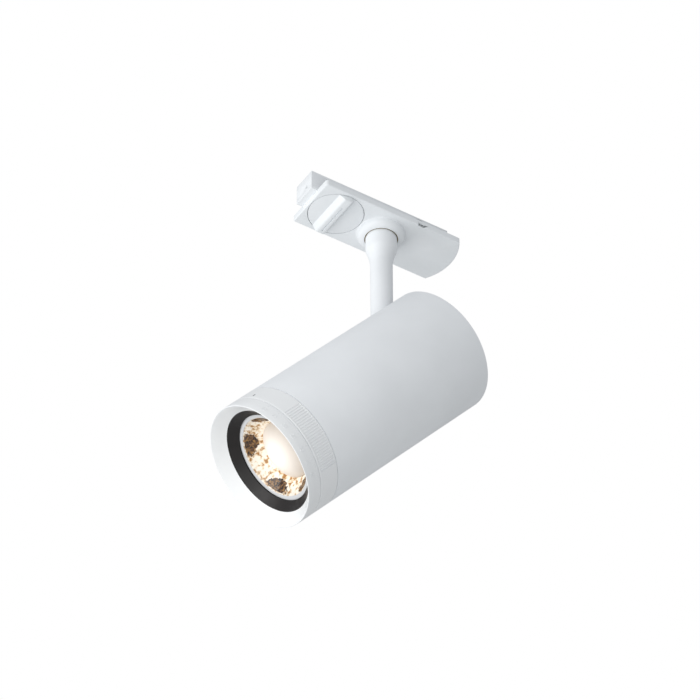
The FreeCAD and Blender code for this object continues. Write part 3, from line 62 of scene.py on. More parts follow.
def make_camera():
    """A long lens below the track, looking up at the lamp."""
    lens = bpy.data.cameras.new("camera")
    lens.lens = LENS_LENGTH
    lens.sensor_width = SENSOR_WIDTH
    lens.clip_end = 100
    camera = bpy.data.objects.new("camera", lens)
    bpy.context.scene.collection.objects.link(camera)
    camera.location = CAMERA_PLACE
    camera.rotation_mode = "QUATERNION"
    camera.rotation_quaternion = (-VIEW_BACK).to_track_quat("-Z", "Y")
    bpy.context.scene.camera = camera


def make_light(name, place, size, power, tint):
    """A square softbox aimed at the middle of the lamp."""
    lamp = bpy.data.lights.new(name, "AREA")
    lamp.size = size
    lamp.energy = power
    lamp.color = linear(tint)[:3]
    box = bpy.data.objects.new(name, lamp)
    bpy.context.scene.collection.objects.link(box)
    box.location = place
    way = LIGHT_AIM - box.location
    box.rotation_mode = "QUATERNION"
    box.rotation_quaternion = way.to_track_quat("-Z", "Y")


def make_world():
    """An even pale studio: white behind the lamp, dimmer where it only lights it."""
    world = bpy.data.worlds.new("studio")
    bpy.context.scene.world = world
    world.use_nodes = True
    tree = world.node_tree
    tree.nodes.clear()
    seen = add(tree, "ShaderNodeBackground", {"Color": linear("FFFFFF"), "Strength": 1.0})
    light = add(tree, "ShaderNodeBackground", {"Color": linear("F6F8FB"), "Strength": 0.6})
    ray = add(tree, "ShaderNodeLightPath")
    choice = {0: ray.outputs["Is Camera Ray"], 1: light.outputs[0], 2: seen.outputs[0]}
    mixed = add(tree, "ShaderNodeMixShader", links=choice)
    add(tree, "ShaderNodeOutputWorld", links={"Surface": mixed.outputs[0]})


def make_floor():
    """A plain pale floor well below the lamp."""
    bpy.ops.object.select_all(action="DESELECT")
    bpy.ops.mesh.primitive_plane_add(size=FLOOR_SIZE, location=(0, 0, FLOOR_HEIGHT))
    floor = bpy.context.object
    floor.name = "floor"
    paint = bpy.data.materials.new("pale_studio_floor")
    paint.use_nodes = True
    shader = paint.node_tree.nodes["Principled BSDF"]
    shader.inputs["Base Color"].default_value = linear("F0F0EE")
    shader.inputs["Roughness"].default_value = 0.9
    floor.data.materials.append(paint)


# ---------------------------------------------------------------- material building
def linear(colour):
    """An sRGB hex colour as the linear values that the shaders take."""
    parts = [int(colour[i:i + 2], 16) / 255 for i in (0, 2, 4)]
    return [c / 12.92 if c <= 0.04045 else ((c + 0.055) / 1.055) ** 2.4 for c in parts] + [1.0]


def add(tree, kind, sockets=None, links=None, **settings):
    """Adds one node, with its settings, its sockets' values and its links."""
    made = tree.nodes.new(kind)
    for name, value in settings.items():
        setattr(made, name, value)
    for name, value in (sockets or {}).items():
        made.inputs[name].default_value = value
    for name, source in (links or {}).items():
        tree.links.new(source, made.inputs[name])
    return made


def start_material(name, sockets):
    """A material with a bare shader, and object coordinates to draw patterns on."""
    material = bpy.data.materials.new(name)
    material.use_nodes = True
    tree = material.node_tree
    tree.nodes.clear()
    shader = add(tree, "ShaderNodeBsdfPrincipled", sockets)
    add(tree, "ShaderNodeOutputMaterial", links={"Surface": shader.outputs[0]})
    place = add(tree, "ShaderNodeTexCoord").outputs["Object"]
    return material, tree, shader, place


def grain(tree, place, size, detail=2.0, stretch=None):
    """Noise whose grains are about size millimetres across."""
    if stretch:
        place = add(tree, "ShaderNodeMapping", {"Scale": stretch}, {"Vector": place}).outputs[0]
    return add(
        tree, "ShaderNodeTexNoise", {"Scale": 1 / (size * MM), "Detail": detail}, {"Vector": place}
    ).outputs["Fac"]


def spread(tree, value, low, high, first, last):
    """Stretches a value between low and high to the range first to last."""
    sockets = {"From Min": low, "From Max": high, "To Min": first, "To Max": last}
    return add(tree, "ShaderNodeMapRange", sockets, {"Value": value}).outputs[0]


def tones(tree, value, colours, low=0.3, high=0.7):
    """A colour ramp between two or more hex colours."""
    ramp = add(tree, "ShaderNodeValToRGB", links={"Fac": value})
    band = ramp.color_ramp
    while len(band.elements) < len(colours):
        band.elements.new(0.5)
    for index, colour in enumerate(colours):
        band.elements[index].position = low + (high - low) * index / (len(colours) - 1)
        band.elements[index].color = linear(colour)
    return ramp.outputs["Color"]


def skin(name, colours, mottle, roughness, relief, relief_size, ior=1.5, metal=False, stretch=None, wax=0):
    """A finish with faint uneven colour, uneven gloss and a fine relief.

    mottle and relief_size are the width of the colour patches and of the relief's grains,
    and relief its height, all in millimetres. roughness is its lowest and highest value.
    """
    material, tree, shader, place = start_material(name, {"Metallic": 1.0} if metal else {"IOR": ior})
    if wax:
        shader.inputs["Subsurface Weight"].default_value = wax
        shader.inputs["Subsurface Scale"].default_value = 1.5 * MM
    patches = grain(tree, place, mottle, 3.0)
    fine = grain(tree, place, relief_size, 2.0, stretch)
    smear = grain(tree, place, mottle * 0.35, 4.0, stretch)
    tree.links.new(tones(tree, patches, colours), shader.inputs["Base Color"])
    tree.links.new(spread(tree, smear, 0.3, 0.7, *roughness), shader.inputs["Roughness"])
    bump = add(
        tree, "ShaderNodeBump", {"Strength": 1.0, "Distance": relief * MM}, {"Height": fine}
    )
    tree.links.new(bump.outputs[0], shader.inputs["Normal"])
    return material


# ---------------------------------------------------------------- the lamp's finishes
def white_finishes():
    return {
        # Powder coat baked on aluminium: soft satin with a low orange-peel swell. The real
        # swell is about 1.5 mm wide, drawn at 1.6 mm.
        "powder_coat": skin(
            "white_powder_coat_on_aluminium", ["E6E9EC", "EBEEF1"], 30, (0.40, 0.52), 0.010, 1.6,
            ior=1.5,
        ),
        # The same coat on thin front trim, sprayed a little smoother and whiter.
        "trim_coat": skin(
            "smooth_white_powder_coat_on_trim", ["EDEFF1", "F1F3F4"], 24, (0.34, 0.46), 0.006, 1.6,
            ior=1.5,
        ),
        # Polycarbonate from a spark-eroded mould: very fine matt grain. The real grain is
        # about 0.1 mm, drawn at 0.5 mm so that it shows as a faint softness.
        "moulded": skin(
            "white_moulded_polycarbonate", ["E5E9EC", "EAEDF0"], 18, (0.42, 0.55), 0.012, 0.5,
            ior=1.58,
        ),
        # Polybutylene holder round the light source: plain matt white.
        "holder": skin(
            "white_moulded_polyester", ["E4E4E2", "ECECEA"], 9, (0.45, 0.6), 0.01, 0.6, ior=1.55
        ),
        # Turned nylon: slightly yellow and waxy, with faint tool rings.
        "nylon": skin(
            "natural_turned_nylon", ["DAD8CC", "E3E1D6"], 6, (0.38, 0.5), 0.008, 0.7, ior=1.53,
            wax=0.15,
        ),
    }


def dark_finishes():
    return {
        # Black polycarbonate with a satin mould skin: the sheen lifts it to warm grey.
        "black": skin(
            "satin_black_polycarbonate", ["0F0B0B", "171212"], 12, (0.34, 0.46), 0.006, 0.5, ior=1.45
        ),
        # Epoxy glass board under green lacquer: glossy, the cloth shows as a low weave.
        "board": skin(
            "green_lacquered_glass_epoxy", ["1F5B36", "2A6B42"], 5, (0.22, 0.34), 0.02, 0.8, ior=1.55
        ),
        # Shrink sleeve and tape on wound and rolled components.
        "component": skin(
            "shrink_sleeved_component", ["23262B", "2F3339"], 4, (0.35, 0.5), 0.02, 1.0, ior=1.5
        ),
        # Silicone lead: soft matt rubber.
        "lead": skin(
            "silicone_rubber_lead", ["A72E26", "B83A30"], 3, (0.5, 0.65), 0.01, 0.6, ior=1.43
        ),
    }


def metal_finishes():
    return {
        # Bright zinc plate on pressed or turned steel: cool grey with a cloudy bloom.
        "zinc": skin(
            "bright_zinc_plated_steel", ["B9BDC0", "CDD0D2"], 4, (0.26, 0.42), 0.006, 0.4, metal=True
        ),
        # Rolled spring strip: fine lines along the strip.
        "spring": skin(
            "rolled_spring_steel", ["A9ADB1", "C2C5C8"], 5, (0.22, 0.36), 0.008, 0.5, metal=True,
            stretch=(0.08, 1, 1),
        ),
        # Bare drawn brass: warm yellow, slightly tarnished in patches.
        "brass": skin(
            "drawn_brass", ["B08A45", "C9A45C"], 3, (0.24, 0.4), 0.006, 0.4, metal=True
        ),
        # Oil-soaked sintered bronze bush: olive gold with open pores.
        "bronze": skin(
            "oiled_sintered_bronze", ["6E5F34", "85744A"], 2, (0.4, 0.58), 0.02, 0.35, metal=True
        ),
        # Die-cast aluminium left bare: pale grey with a sandy skin.
        "cast": skin(
            "bare_die_cast_aluminium", ["B4B7B9", "C6C8CA"], 8, (0.42, 0.6), 0.03, 0.9, metal=True
        ),
    }


FINISH = {}


def make_finishes():
    for family in (white_finishes(), dark_finishes(), metal_finishes()):
        FINISH.update(family)
    FINISH["phosphor"] = phosphor_finish()
    FINISH["frosted"] = frosted_finish()
    FINISH["clear"] = clear_finish()
    FINISH["mark"] = mark_finish()


def head_place(tree, place):
    """Object coordinates turned into the head's own axes, so patterns can go round the lens."""
    turn = {"Location": HEAD_BACK.translation, "Rotation": HEAD_BACK.to_euler()}
    return add(tree, "ShaderNodeMapping", turn, {"Vector": place}).outputs[0]


def phosphor_finish():
    """Yellow phosphor gel over the light-emitting chips, lit."""
    sockets = {"Roughness": 0.5, "IOR": 1.43, "Emission Strength": 6.0}
    material, tree, shader, place = start_material("lit_phosphor_gel", sockets)
    cells = add(
        tree, "ShaderNodeTexVoronoi", {"Scale": 1 / (1.1 * MM)}, {"Vector": place}
    ).outputs["Distance"]
    glow = tones(tree, cells, ["FFE9B8", "FFD487"], 0.0, 0.8)
    for socket in ("Base Color", "Emission Color"):
        tree.links.new(glow, shader.inputs[socket])
    return material


GLOW_MIDDLE = (4.6, 1.8)  # brightest place of the dome's painted glow, millimetres off the lens axis


def flat_reach(tree, local, middle=(0, 0)):
    """Distance across the head's axis from a place on it in millimetres, and the way there."""
    shifted = local
    if any(middle):
        offset = (middle[0] * MM, middle[1] * MM, 0)
        shifted = add(tree, "ShaderNodeVectorMath", {1: offset}, {0: local}, operation="SUBTRACT").outputs[0]
    flat = add(tree, "ShaderNodeVectorMath", {1: (1, 1, 0)}, {0: shifted}, operation="MULTIPLY").outputs[0]
    reach = add(tree, "ShaderNodeVectorMath", links={0: flat}, operation="LENGTH").outputs["Value"]
    return reach, flat


def frosted_finish():
    """Frosted silicone dome glowing warm white over the light source, with painted light in its base colour,
    brightest to one side of its middle.
    """
    sockets = {"Roughness": 0.55, "IOR": 1.41}
    material, tree, shader, place = start_material("lit_frosted_silicone", sockets)
    reach, _ = flat_reach(tree, head_place(tree, place), GLOW_MIDDLE)
    share = spread(tree, reach, 0, 20 * MM, 0, 1)
    # Painted light: the base colour darkens away from the brightest spot along with the glow, though the
    # silicone is one colour throughout.
    warm = tones(tree, share, ["F6F1E8", "E9E1D8", "CFC6BC"], 0.1, 0.95)
    tree.links.new(warm, shader.inputs["Base Color"])
    tree.links.new(warm, shader.inputs["Emission Color"])
    tree.links.new(spread(tree, reach, 2 * MM, 17 * MM, 0.36, 0.0), shader.inputs["Emission Strength"])
    mist = grain(tree, place, 0.9, 2.0)
    bump = add(tree, "ShaderNodeBump", {"Strength": 1.0, "Distance": 0.02 * MM}, {"Height": mist})
    tree.links.new(bump.outputs[0], shader.inputs["Normal"])
    return material


# The optic's painted reflections of the dark sleeve: degrees round the head as in around(), the rest in
# millimetres.
REFLECTION_ANGLES = (28.0, 108.0, 174.0, 247.0, 321.0)
REFLECTION_REACH = 20.4  # a painted reflection's middle, off the lens axis
REFLECTION_DEEP = 2.5  # half its width along a radius
REFLECTION_LONG = 7.0  # half its length round the bowl
REFLECTION_RIM = 22.5  # where the flange ends it
FACET_SIZE = 1.1


def nearest_reflection(tree, flat):
    """How far a place is from the nearest painted reflection's middle, where 1 is that reflection's edge."""
    nearest = None
    for degrees in REFLECTION_ANGLES:
        turn = math.radians(90 - degrees)
        middle = (REFLECTION_REACH * MM * math.cos(turn), REFLECTION_REACH * MM * math.sin(turn), 0)
        size = (REFLECTION_DEEP * MM, REFLECTION_LONG * MM, 1)
        shape = {"Location": middle, "Rotation": (0, 0, turn), "Scale": size}
        inside = add(tree, "ShaderNodeMapping", shape, {"Vector": flat}, vector_type="TEXTURE").outputs[0]
        away = add(tree, "ShaderNodeVectorMath", links={0: inside}, operation="LENGTH").outputs["Value"]
        if nearest is not None:
            away = add(tree, "ShaderNodeMath", links={0: nearest, 1: away}, operation="MINIMUM").outputs[0]
        nearest = away
    return nearest


def clear_finish():
    """Clear acrylic optic: glossy, with a painted warm glow, and five gold-brown painted reflections
    of the dark sleeve behind. The checks in them are the facets. Past the rim it is plain glass."""
    sockets = {"Roughness": 0.08, "IOR": 1.49, "Coat Weight": 0.4, "Coat Roughness": 0.03}
    material, tree, shader, place = start_material("clear_moulded_acrylic_optic", sockets)
    local = head_place(tree, place)
    reach, flat = flat_reach(tree, local)
    # Painted reflections of the dark sleeve: five gold-brown patches, with checks for the facets.
    nearest = nearest_reflection(tree, flat)
    wobble = spread(tree, grain(tree, local, 1.8, 3.0), 0.3, 0.7, -0.2, 0.2)
    uneven = add(tree, "ShaderNodeMath", links={0: nearest, 1: wobble}, operation="ADD").outputs[0]
    reflection_sides = spread(tree, uneven, 0.9, 1.02, 1, 0)
    within = spread(tree, reach, REFLECTION_RIM * MM - 0.2 * MM, REFLECTION_RIM * MM, 1, 0)
    painted_reflection = add(tree, "ShaderNodeMath", links={0: reflection_sides, 1: within}, operation="MULTIPLY").outputs[0]
    facets = add(
        tree, "ShaderNodeTexVoronoi", {"Scale": 1 / (FACET_SIZE * MM)}, {"Vector": local},
        feature="F1", distance="CHEBYCHEV",
    ).outputs["Color"]
    fleck = add(tree, "ShaderNodeSeparateColor", links={"Color": facets}).outputs[0]
    reflected_sleeve_tone = tones(tree, fleck, ["2E1D12", "5A3F2A", "96703F"], 0.1, 1.0)
    # Painted warm glow: the lamp's light in the lens is drawn as cream and orange base colour.
    painted_warm_glow = tones(tree, grain(tree, local, 2.2, 3.0), ["A87A48", "E6D3B6", "F4ECE0"], 0.36, 0.54)
    glass = add(tree, "ShaderNodeMix", {"B": linear("D2D3D5")}, data_type="RGBA", blend_type="MIX")
    tree.links.new(spread(tree, reach, 22.6 * MM, 22.9 * MM, 0, 1), glass.inputs["Factor"])
    tree.links.new(painted_warm_glow, glass.inputs["A"])
    colour = add(tree, "ShaderNodeMix", data_type="RGBA", blend_type="MIX")
    tree.links.new(painted_reflection, colour.inputs["Factor"])
    tree.links.new(glass.outputs["Result"], colour.inputs["A"])
    tree.links.new(reflected_sleeve_tone, colour.inputs["B"])
    for socket in ("Base Color", "Emission Color"):
        tree.links.new(colour.outputs["Result"], shader.inputs[socket])
    # Painted glow: the lens gives off light of its own, strongest towards its middle.
    tree.links.new(spread(tree, reach, 16 * MM, 23 * MM, 0.30, 0.0), shader.inputs["Emission Strength"])
    return material


def mark_finish():
    """Grey pad-printed ink: flat, with slightly ragged coverage."""
    return skin("grey_pad_printed_ink", ["4A4C50", "5C5E62"], 1.2, (0.5, 0.65), 0.004, 0.4, ior=1.5)


# ---------------------------------------------------------------- modelling
def head_matrix():
    """Turns a piece drawn pointing down, tilt axis through the origin, to the head at rest."""
    across = Vector(JOINTS["tilt"]["axis"]).normalized()
    back = -Vector(JOINTS["zoom_turn"]["axis"]).normalized()
    up = back.cross(across)
    turn = Matrix((across, up, back)).transposed().to_4x4()
    return Matrix.Translation(Vector(JOINTS["tilt"]["pos_m"])) @ turn


HEAD = head_matrix()
HEAD_BACK = HEAD.inverted()
FRONT_RIM = min((HEAD_BACK @ vertex.co).z for vertex in NODES["front_ring"].data.vertices) / MM


def edit():
    bpy.ops.object.mode_set(mode="EDIT")


def leave():
    bpy.ops.object.mode_set(mode="OBJECT")


def take(name):
    """Names the primitive just added, and applies its place, turn and size to its mesh."""
    piece = bpy.context.object
    piece.name = name
    piece.data.name = name
    bpy.ops.object.transform_apply(location=True, rotation=True, scale=True)
    return piece


def only(piece):
    bpy.ops.object.select_all(action="DESELECT")
    piece.select_set(True)
    bpy.context.view_layer.objects.active = piece


def pick(piece, kind, wanted):
    """Goes into edit mode with only the vertices, edges or faces that are wanted."""
    leave()
    mesh = piece.data
    sets = {"vertices": mesh.vertices, "edges": mesh.edges, "faces": mesh.polygons}
    for group in sets.values():
        group.foreach_set("select", [False] * len(group))
    modes = [kind == name for name in sets]
    bpy.context.tool_settings.mesh_select_mode = modes
    chosen = [bool(wanted(item)) for item in sets[kind]]
    sets[kind].foreach_set("select", chosen)
    edit()
    return sum(chosen)


def both_ends(mesh, test):
    """An edge test that holds when it holds for both of the edge's ends."""
    return lambda edge: all(test(mesh.vertices[index].co) for index in edge.vertices)


def on_ring(radius, height, slack=0.004 * MM):
    """True for points on a circle about Z, sizes in millimetres."""
    return lambda co: abs(co.z - height * MM) < slack and abs(math.hypot(co.x, co.y) - radius * MM) < slack


def turned(name, section, steps):
    """A turned piece: a circle extruded from point to point of a section of (radius, height)."""
    bpy.ops.object.select_all(action="DESELECT")
    rings = [point for point in section if point[0] > 0]
    bpy.ops.mesh.primitive_circle_add(
        vertices=steps, radius=rings[0][0] * MM, location=(0, 0, rings[0][1] * MM)
    )
    piece = take(name)
    edit()
    bpy.context.tool_settings.mesh_select_mode = (True, False, False)
    bpy.ops.mesh.select_all(action="SELECT")
    for (radius, height), (next_radius, next_height) in zip(rings, rings[1:]):
        lift = (0, 0, (next_height - height) * MM)
        bpy.ops.mesh.extrude_region_move(TRANSFORM_OT_translate={"value": lift})
        share = next_radius / radius
        bpy.ops.transform.resize(value=(share, share, 1))
    if section[-1][0] == 0:
        close_pole(section[-1][1] - rings[-1][1])
    if section[0][0] == 0:
        pick(piece, "edges", both_ends(piece.data, on_ring(*rings[0])))
        close_pole(section[0][1] - rings[0][1])
    if len(rings) == len(section):
        first, last = on_ring(*rings[0]), on_ring(*rings[-1])
        whole = both_ends(piece.data, first), both_ends(piece.data, last)
        pick(piece, "edges", lambda edge: whole[0](edge) or whole[1](edge))
        bpy.ops.mesh.bridge_edge_loops()
    tidy_normals()
    leave()
    return piece


def close_pole(rise):
    """Draws the selected ring in to one point on the axis."""
    bpy.ops.mesh.extrude_region_move(TRANSFORM_OT_translate={"value": (0, 0, rise * MM)})
    bpy.ops.mesh.merge(type="CENTER")


def tidy_normals():
    bpy.ops.mesh.select_all(action="SELECT")
    bpy.ops.mesh.normals_make_consistent(inside=False)


def modify(piece, kind, **settings):
    """Adds a modifier and applies it."""
    only(piece)
    made = piece.modifiers.new(kind.lower(), kind)
    for name, value in settings.items():
        setattr(made, name, value)
    bpy.ops.object.modifier_apply(modifier=made.name)


def soften(piece, width, segments=2, angle=30):
    """Rounds every edge sharper than the angle, then shades the rest smooth."""
    modify(
        piece, "BEVEL", width=width * MM, segments=segments, limit_method="ANGLE",
        angle_limit=math.radians(angle), use_clamp_overlap=True, miter_outer="MITER_ARC",
    )
    smooth(piece)


def smooth(piece, angle=32):
    only(piece)
    bpy.ops.object.shade_smooth_by_angle(angle=math.radians(angle))


def cut(piece, tool, operation="DIFFERENCE"):
    """Takes a tool away from a piece, joins it on or keeps what they share, and removes the tool."""
    modify(piece, "BOOLEAN", object=tool, operation=operation, solver="EXACT")
    bpy.data.objects.remove(tool)


def bar(name, low, high):
    """A block between two corners in millimetres."""
    bpy.ops.object.select_all(action="DESELECT")
    middle = [(a + b) / 2 * MM for a, b in zip(low, high)]
    bpy.ops.mesh.primitive_cube_add(size=1, location=middle)
    bpy.context.object.scale = [(b - a) * MM for a, b in zip(low, high)]
    return take(name)


def drum(name, radius, low, high, x=0.0, y=0.0, steps=128):
    """A cylinder about an upright axis, sizes in millimetres."""
    bpy.ops.object.select_all(action="DESELECT")
    middle = (x * MM, y * MM, (low + high) / 2 * MM)
    bpy.ops.mesh.primitive_cylinder_add(
        vertices=steps, radius=radius * MM, depth=(high - low) * MM, location=middle
    )
    return take(name)


def turn_to_head(piece):
    """Puts a piece drawn pointing down into the head at rest."""
    only(piece)
    piece.matrix_world = HEAD
    bpy.ops.object.transform_apply(location=True, rotation=True, scale=True)


def settle(piece, body, slot, finish, *nodes):
    """Gives a finished piece its finish and body, and hides the CAD nodes it stands for. slot is not used."""
    if len(piece.data.materials) < 2:
        piece.data.materials.clear()
        piece.data.materials.append(FINISH[finish])
    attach(piece, body)
    if nodes:
        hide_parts(*nodes)


def in_head(section):
    """A section given as (radius, depth behind the front rim), as (radius, height)."""
    return [(radius, depth + FRONT_RIM) for radius, depth in section]


def arc(start, end, bulge, count):
    """Points of a shallow curve between two section points, bulging to the right of the way."""
    (r0, z0), (r1, z1) = start, end
    points = []
    for step in range(1, count):
        share = step / count
        sag = 4 * bulge * share * (1 - share)
        length = math.hypot(r1 - r0, z1 - z0)
        side_r, side_z = (z1 - z0) / length, -(r1 - r0) / length
        points.append((r0 + (r1 - r0) * share + side_r * sag, z0 + (z1 - z0) * share + side_z * sag))
    return points


# ---------------------------------------------------------------- head pieces
HEAD_RADIUS = 35.5
RIM_STEPS = 300
GRIP_STEPS = 600
RIB_STRIPS = 4  # strips from one rib to the next, the rib itself being one
CONE_STEPS = 192
TRIM_ANGLE = 28  # edges sharper than this stay crisp


def make_front_ring():
    """Front trim: a thin rim, the white mouth cone and a band for the beam scale."""
    section = in_head([
        (29.41, 6.3), (32.2, 3.15), (34.72, 0.3), (35.0, 0.04), (35.22, 0.0), (35.42, 0.1), (35.5, 0.35),
        (35.5, 4.6), (35.5, 8.75), (35.36, 8.98), (35.1, 9.05), (35.05, 9.3), (33.0, 9.3), (33.0, 9.05),
        (30.39, 9.05), (30.39, 6.3),
    ])
    ring = turned("front_ring_trim", section, RIM_STEPS)
    smooth(ring, TRIM_ANGLE)
    turn_to_head(ring)
    settle(ring, "head", "white_paint", "trim_coat", "front_ring")


SCALE_START = -72.0
SCALE_STEP = -12.0
SCALE_NUMBERS = ("10", "15", "20", "25", "30", "35", "40")
NUMBER_HIGH = 3.2
NUMBER_PROUD = 0.16
NUMBER_DEPTH = 3.9  # behind the front rim, as is the next
TICK_END = 7.9
TICKS = 5  # from one number to the next
LONG_TICK = 1.5
SHORT_TICK = 0.8


def around(angle, radius, depth):
    """A place on the head's skin, angle in degrees from its top towards the tilt axis."""
    turn = math.radians(angle)
    return Vector((radius * math.sin(turn), radius * math.cos(turn), depth + FRONT_RIM)) * MM


def make_beam_scale():
    """Raised numbers and ticks of the beam angle, moulded in the front trim's own colour."""
    parts = []
    for index, word in enumerate(SCALE_NUMBERS):
        angle = SCALE_START + SCALE_STEP * index
        bpy.ops.object.select_all(action="DESELECT")
        bpy.ops.object.text_add()
        text = bpy.context.object
        text.data.body = word
        text.data.size = NUMBER_HIGH * MM
        text.data.extrude = NUMBER_PROUD * MM
        text.data.align_x = "CENTER"
        text.data.align_y = "CENTER"
        bpy.ops.object.convert(target="MESH")
        stand_on_skin(angle, NUMBER_DEPTH)
        parts.append(take(f"beam_number_{index}"))
        for tick in range(TICKS):
            length = LONG_TICK if tick == 0 else SHORT_TICK
            tick_angle = angle + SCALE_STEP * tick / TICKS
            parts.append(make_tick(f"beam_tick_{index}_{tick}", tick_angle, TICK_END - length, TICK_END))
    only(parts[0])
    for part in parts:
        part.select_set(True)
    bpy.ops.object.join()
    scale = bpy.context.object
    scale.name = "beam_scale"
    smooth(scale, 30)
    turn_to_head(scale)
    settle(scale, "head", "white_paint", "trim_coat")


def stand_on_skin(angle, depth):
    """Stands the active object's face on the head's skin, its top towards the rear."""
    outward = around(angle, 1, 0) - around(angle, 0, 0)
    outward.normalize()
    upward = Vector((0, 0, 1))
    across = upward.cross(outward)
    turn = Matrix((across, upward, outward)).transposed().to_4x4()
    bpy.context.object.matrix_world = Matrix.Translation(around(angle, HEAD_RADIUS, depth)) @ turn


def make_tick(name, angle, near, far):
    """One tick of the scale: a small block standing a little off the skin."""
    bpy.ops.object.select_all(action="DESELECT")
    bpy.ops.mesh.primitive_cube_add(size=1)
    edit()
    bpy.ops.transform.resize(value=(0.3 * MM, (far - near) * MM, 0.32 * MM))
    leave()
    stand_on_skin(angle, (near + far) / 2)
    tick = take(name)
    soften(tick, 0.04, 1)
    return tick


KNURL_SECTORS = (-116.5, 3.5, 123.5)
KNURL_HALF = 30.5
KNURL_BAND = (10.3, 21.1)  # behind the front rim, as is the next
INDEX_BAND = (11.3, 13.3)
INDEX_ANGLE = -47.0


def make_zoom_ring():
    """Zoom ring with three knurled grips and a small index tick."""
    section = in_head([
        (30.37, 9.35), (35.1, 9.35), (35.38, 9.43), (35.5, 9.7), (35.5, 10.3), (35.5, 11.3), (35.5, 13.3),
        (35.5, 21.1), (35.5, 21.5), (35.38, 21.77), (35.1, 21.85), (35.05, 22.1), (33.0, 22.1), (33.0, 21.85),
        (30.37, 21.85),
    ])
    ring = turned("zoom_ring_knurled", section, GRIP_STEPS)
    mesh = ring.data

    def on_band(face, near, far):
        depth = face.center.z / MM - FRONT_RIM
        return near < depth < far and math.hypot(face.center.x, face.center.y) > 35.3 * MM

    def angle_of(face):
        return math.degrees(math.atan2(face.center.x, face.center.y))

    def in_grip(face):
        angle = angle_of(face)
        turns = [abs((angle - middle + 180) % 360 - 180) for middle in KNURL_SECTORS]
        strip = int((angle % 360) / (360 / GRIP_STEPS))
        return min(turns) < KNURL_HALF and strip % RIB_STRIPS != 0 and on_band(face, *KNURL_BAND)

    pick(ring, "faces", in_grip)
    bpy.ops.mesh.inset(thickness=0.09 * MM, depth=-0.32 * MM)
    pick(ring, "faces", lambda face: abs(angle_of(face) - INDEX_ANGLE) < 1 and on_band(face, *INDEX_BAND))
    bpy.ops.mesh.inset(thickness=0.08 * MM, depth=-0.10 * MM)
    leave()
    mesh.materials.append(FINISH["trim_coat"])
    mesh.materials.append(FINISH["mark"])
    edit()
    ring.active_material_index = 1
    bpy.ops.object.material_slot_assign()
    tidy_normals()
    leave()
    smooth(ring, TRIM_ANGLE)
    turn_to_head(ring)
    settle(ring, "zoom_ring", "white_paint", "trim_coat", "zoom_ring")


def make_baffle():
    """Thin black cone between the white mouth and the lens."""
    section = in_head([
        (29.41, 6.35), (30.29, 6.35), (30.29, 7.45), (29.0, 7.45), (25.51, 10.75), (24.92, 10.75),
        (24.86, 10.6), (27.1, 8.62),
    ])
    cone = turned("glare_cone", section, CONE_STEPS)
    smooth(cone, TRIM_ANGLE)
    turn_to_head(cone)
    settle(cone, "head", "black_plastic", "black", "baffle")


BOWL_COLUMNS = 90
BOWL_MOUTH = (22.86, 11.4)
BOWL_FOOT = (16.2, 20.7)


def make_lens():
    """Clear bowl lens: bright flat flange, then a wall of small facets down to its foot."""
    wall = [BOWL_MOUTH] + arc(BOWL_MOUTH, BOWL_FOOT, -0.3, 10) + [BOWL_FOOT]
    outside = [(17.8, 20.7)] + arc((17.8, 20.7), (24.1, 13.4), 0.3, 6)
    section = wall + outside + [
        (24.14, 13.4), (25.2, 13.4), (25.41, 13.2), (25.41, 11.6), (25.25, 11.42), (24.9, 11.4),
        (23.1, 11.36),
    ]
    lens = turned("faceted_lens", in_head(section), BOWL_COLUMNS)

    def is_wall(face):
        radius = math.hypot(face.center.x, face.center.y) / MM
        inward = face.normal.x * face.center.x + face.normal.y * face.center.y < 0
        return inward and 16.3 < radius < 22.8

    pick(lens, "faces", is_wall)
    bpy.ops.mesh.inset(thickness=0.06 * MM, depth=-0.07 * MM, use_individual=True)
    tidy_normals()
    leave()
    smooth(lens, 12)
    turn_to_head(lens)
    settle(lens, "lens_carrier", "clear_plastic", "clear", "lens")


DOME_CROWN = 14.5
DOME_SPHERE = 28.4
DOME_FOOT = 20.7
DOME_TURNS = [0.033 * step for step in range(17, 0, -1)]  # radians off the crown


def make_diffuser():
    """Frosted dome at the bottom of the bowl, with a rolled edge."""
    crown = [
        (DOME_SPHERE * math.sin(turn), DOME_CROWN + DOME_SPHERE * (1 - math.cos(turn)))
        for turn in DOME_TURNS
    ]
    edge = [(15.8, DOME_FOOT), (16.1, 20.4), (16.1, 19.9), (15.95, 19.55)]
    section = [(0, DOME_FOOT)] + edge + crown + [(0, DOME_CROWN)]
    dome = turned("frosted_dome", in_head(section), 128)
    smooth(dome, 40)
    turn_to_head(dome)
    settle(dome, "lens_carrier", "frosted", "frosted", "diffuser")


# ---------------------------------------------------------------- adapter pieces
PLATE_LEFT = -46.75
PLATE_LOW = -3.7
PLATE_HALF = 17.5
TIP_MIDDLE = 15.3
TIP_RADIUS = 31.0
PLATE_STEPS = 256
KNOB_X = JOINTS["knob_turn"]["pos_m"][0] / MM
KNOB_RADIUS = 15.5
KNOB_STEPS = 160
# Each corner of the plate: which side in X and in Y, and its rounding.
PLATE_CORNERS = ((1, -1, 2.2), (1, 1, 0.6), (-1, -1, 1.6), (-1, 1, 0.6))


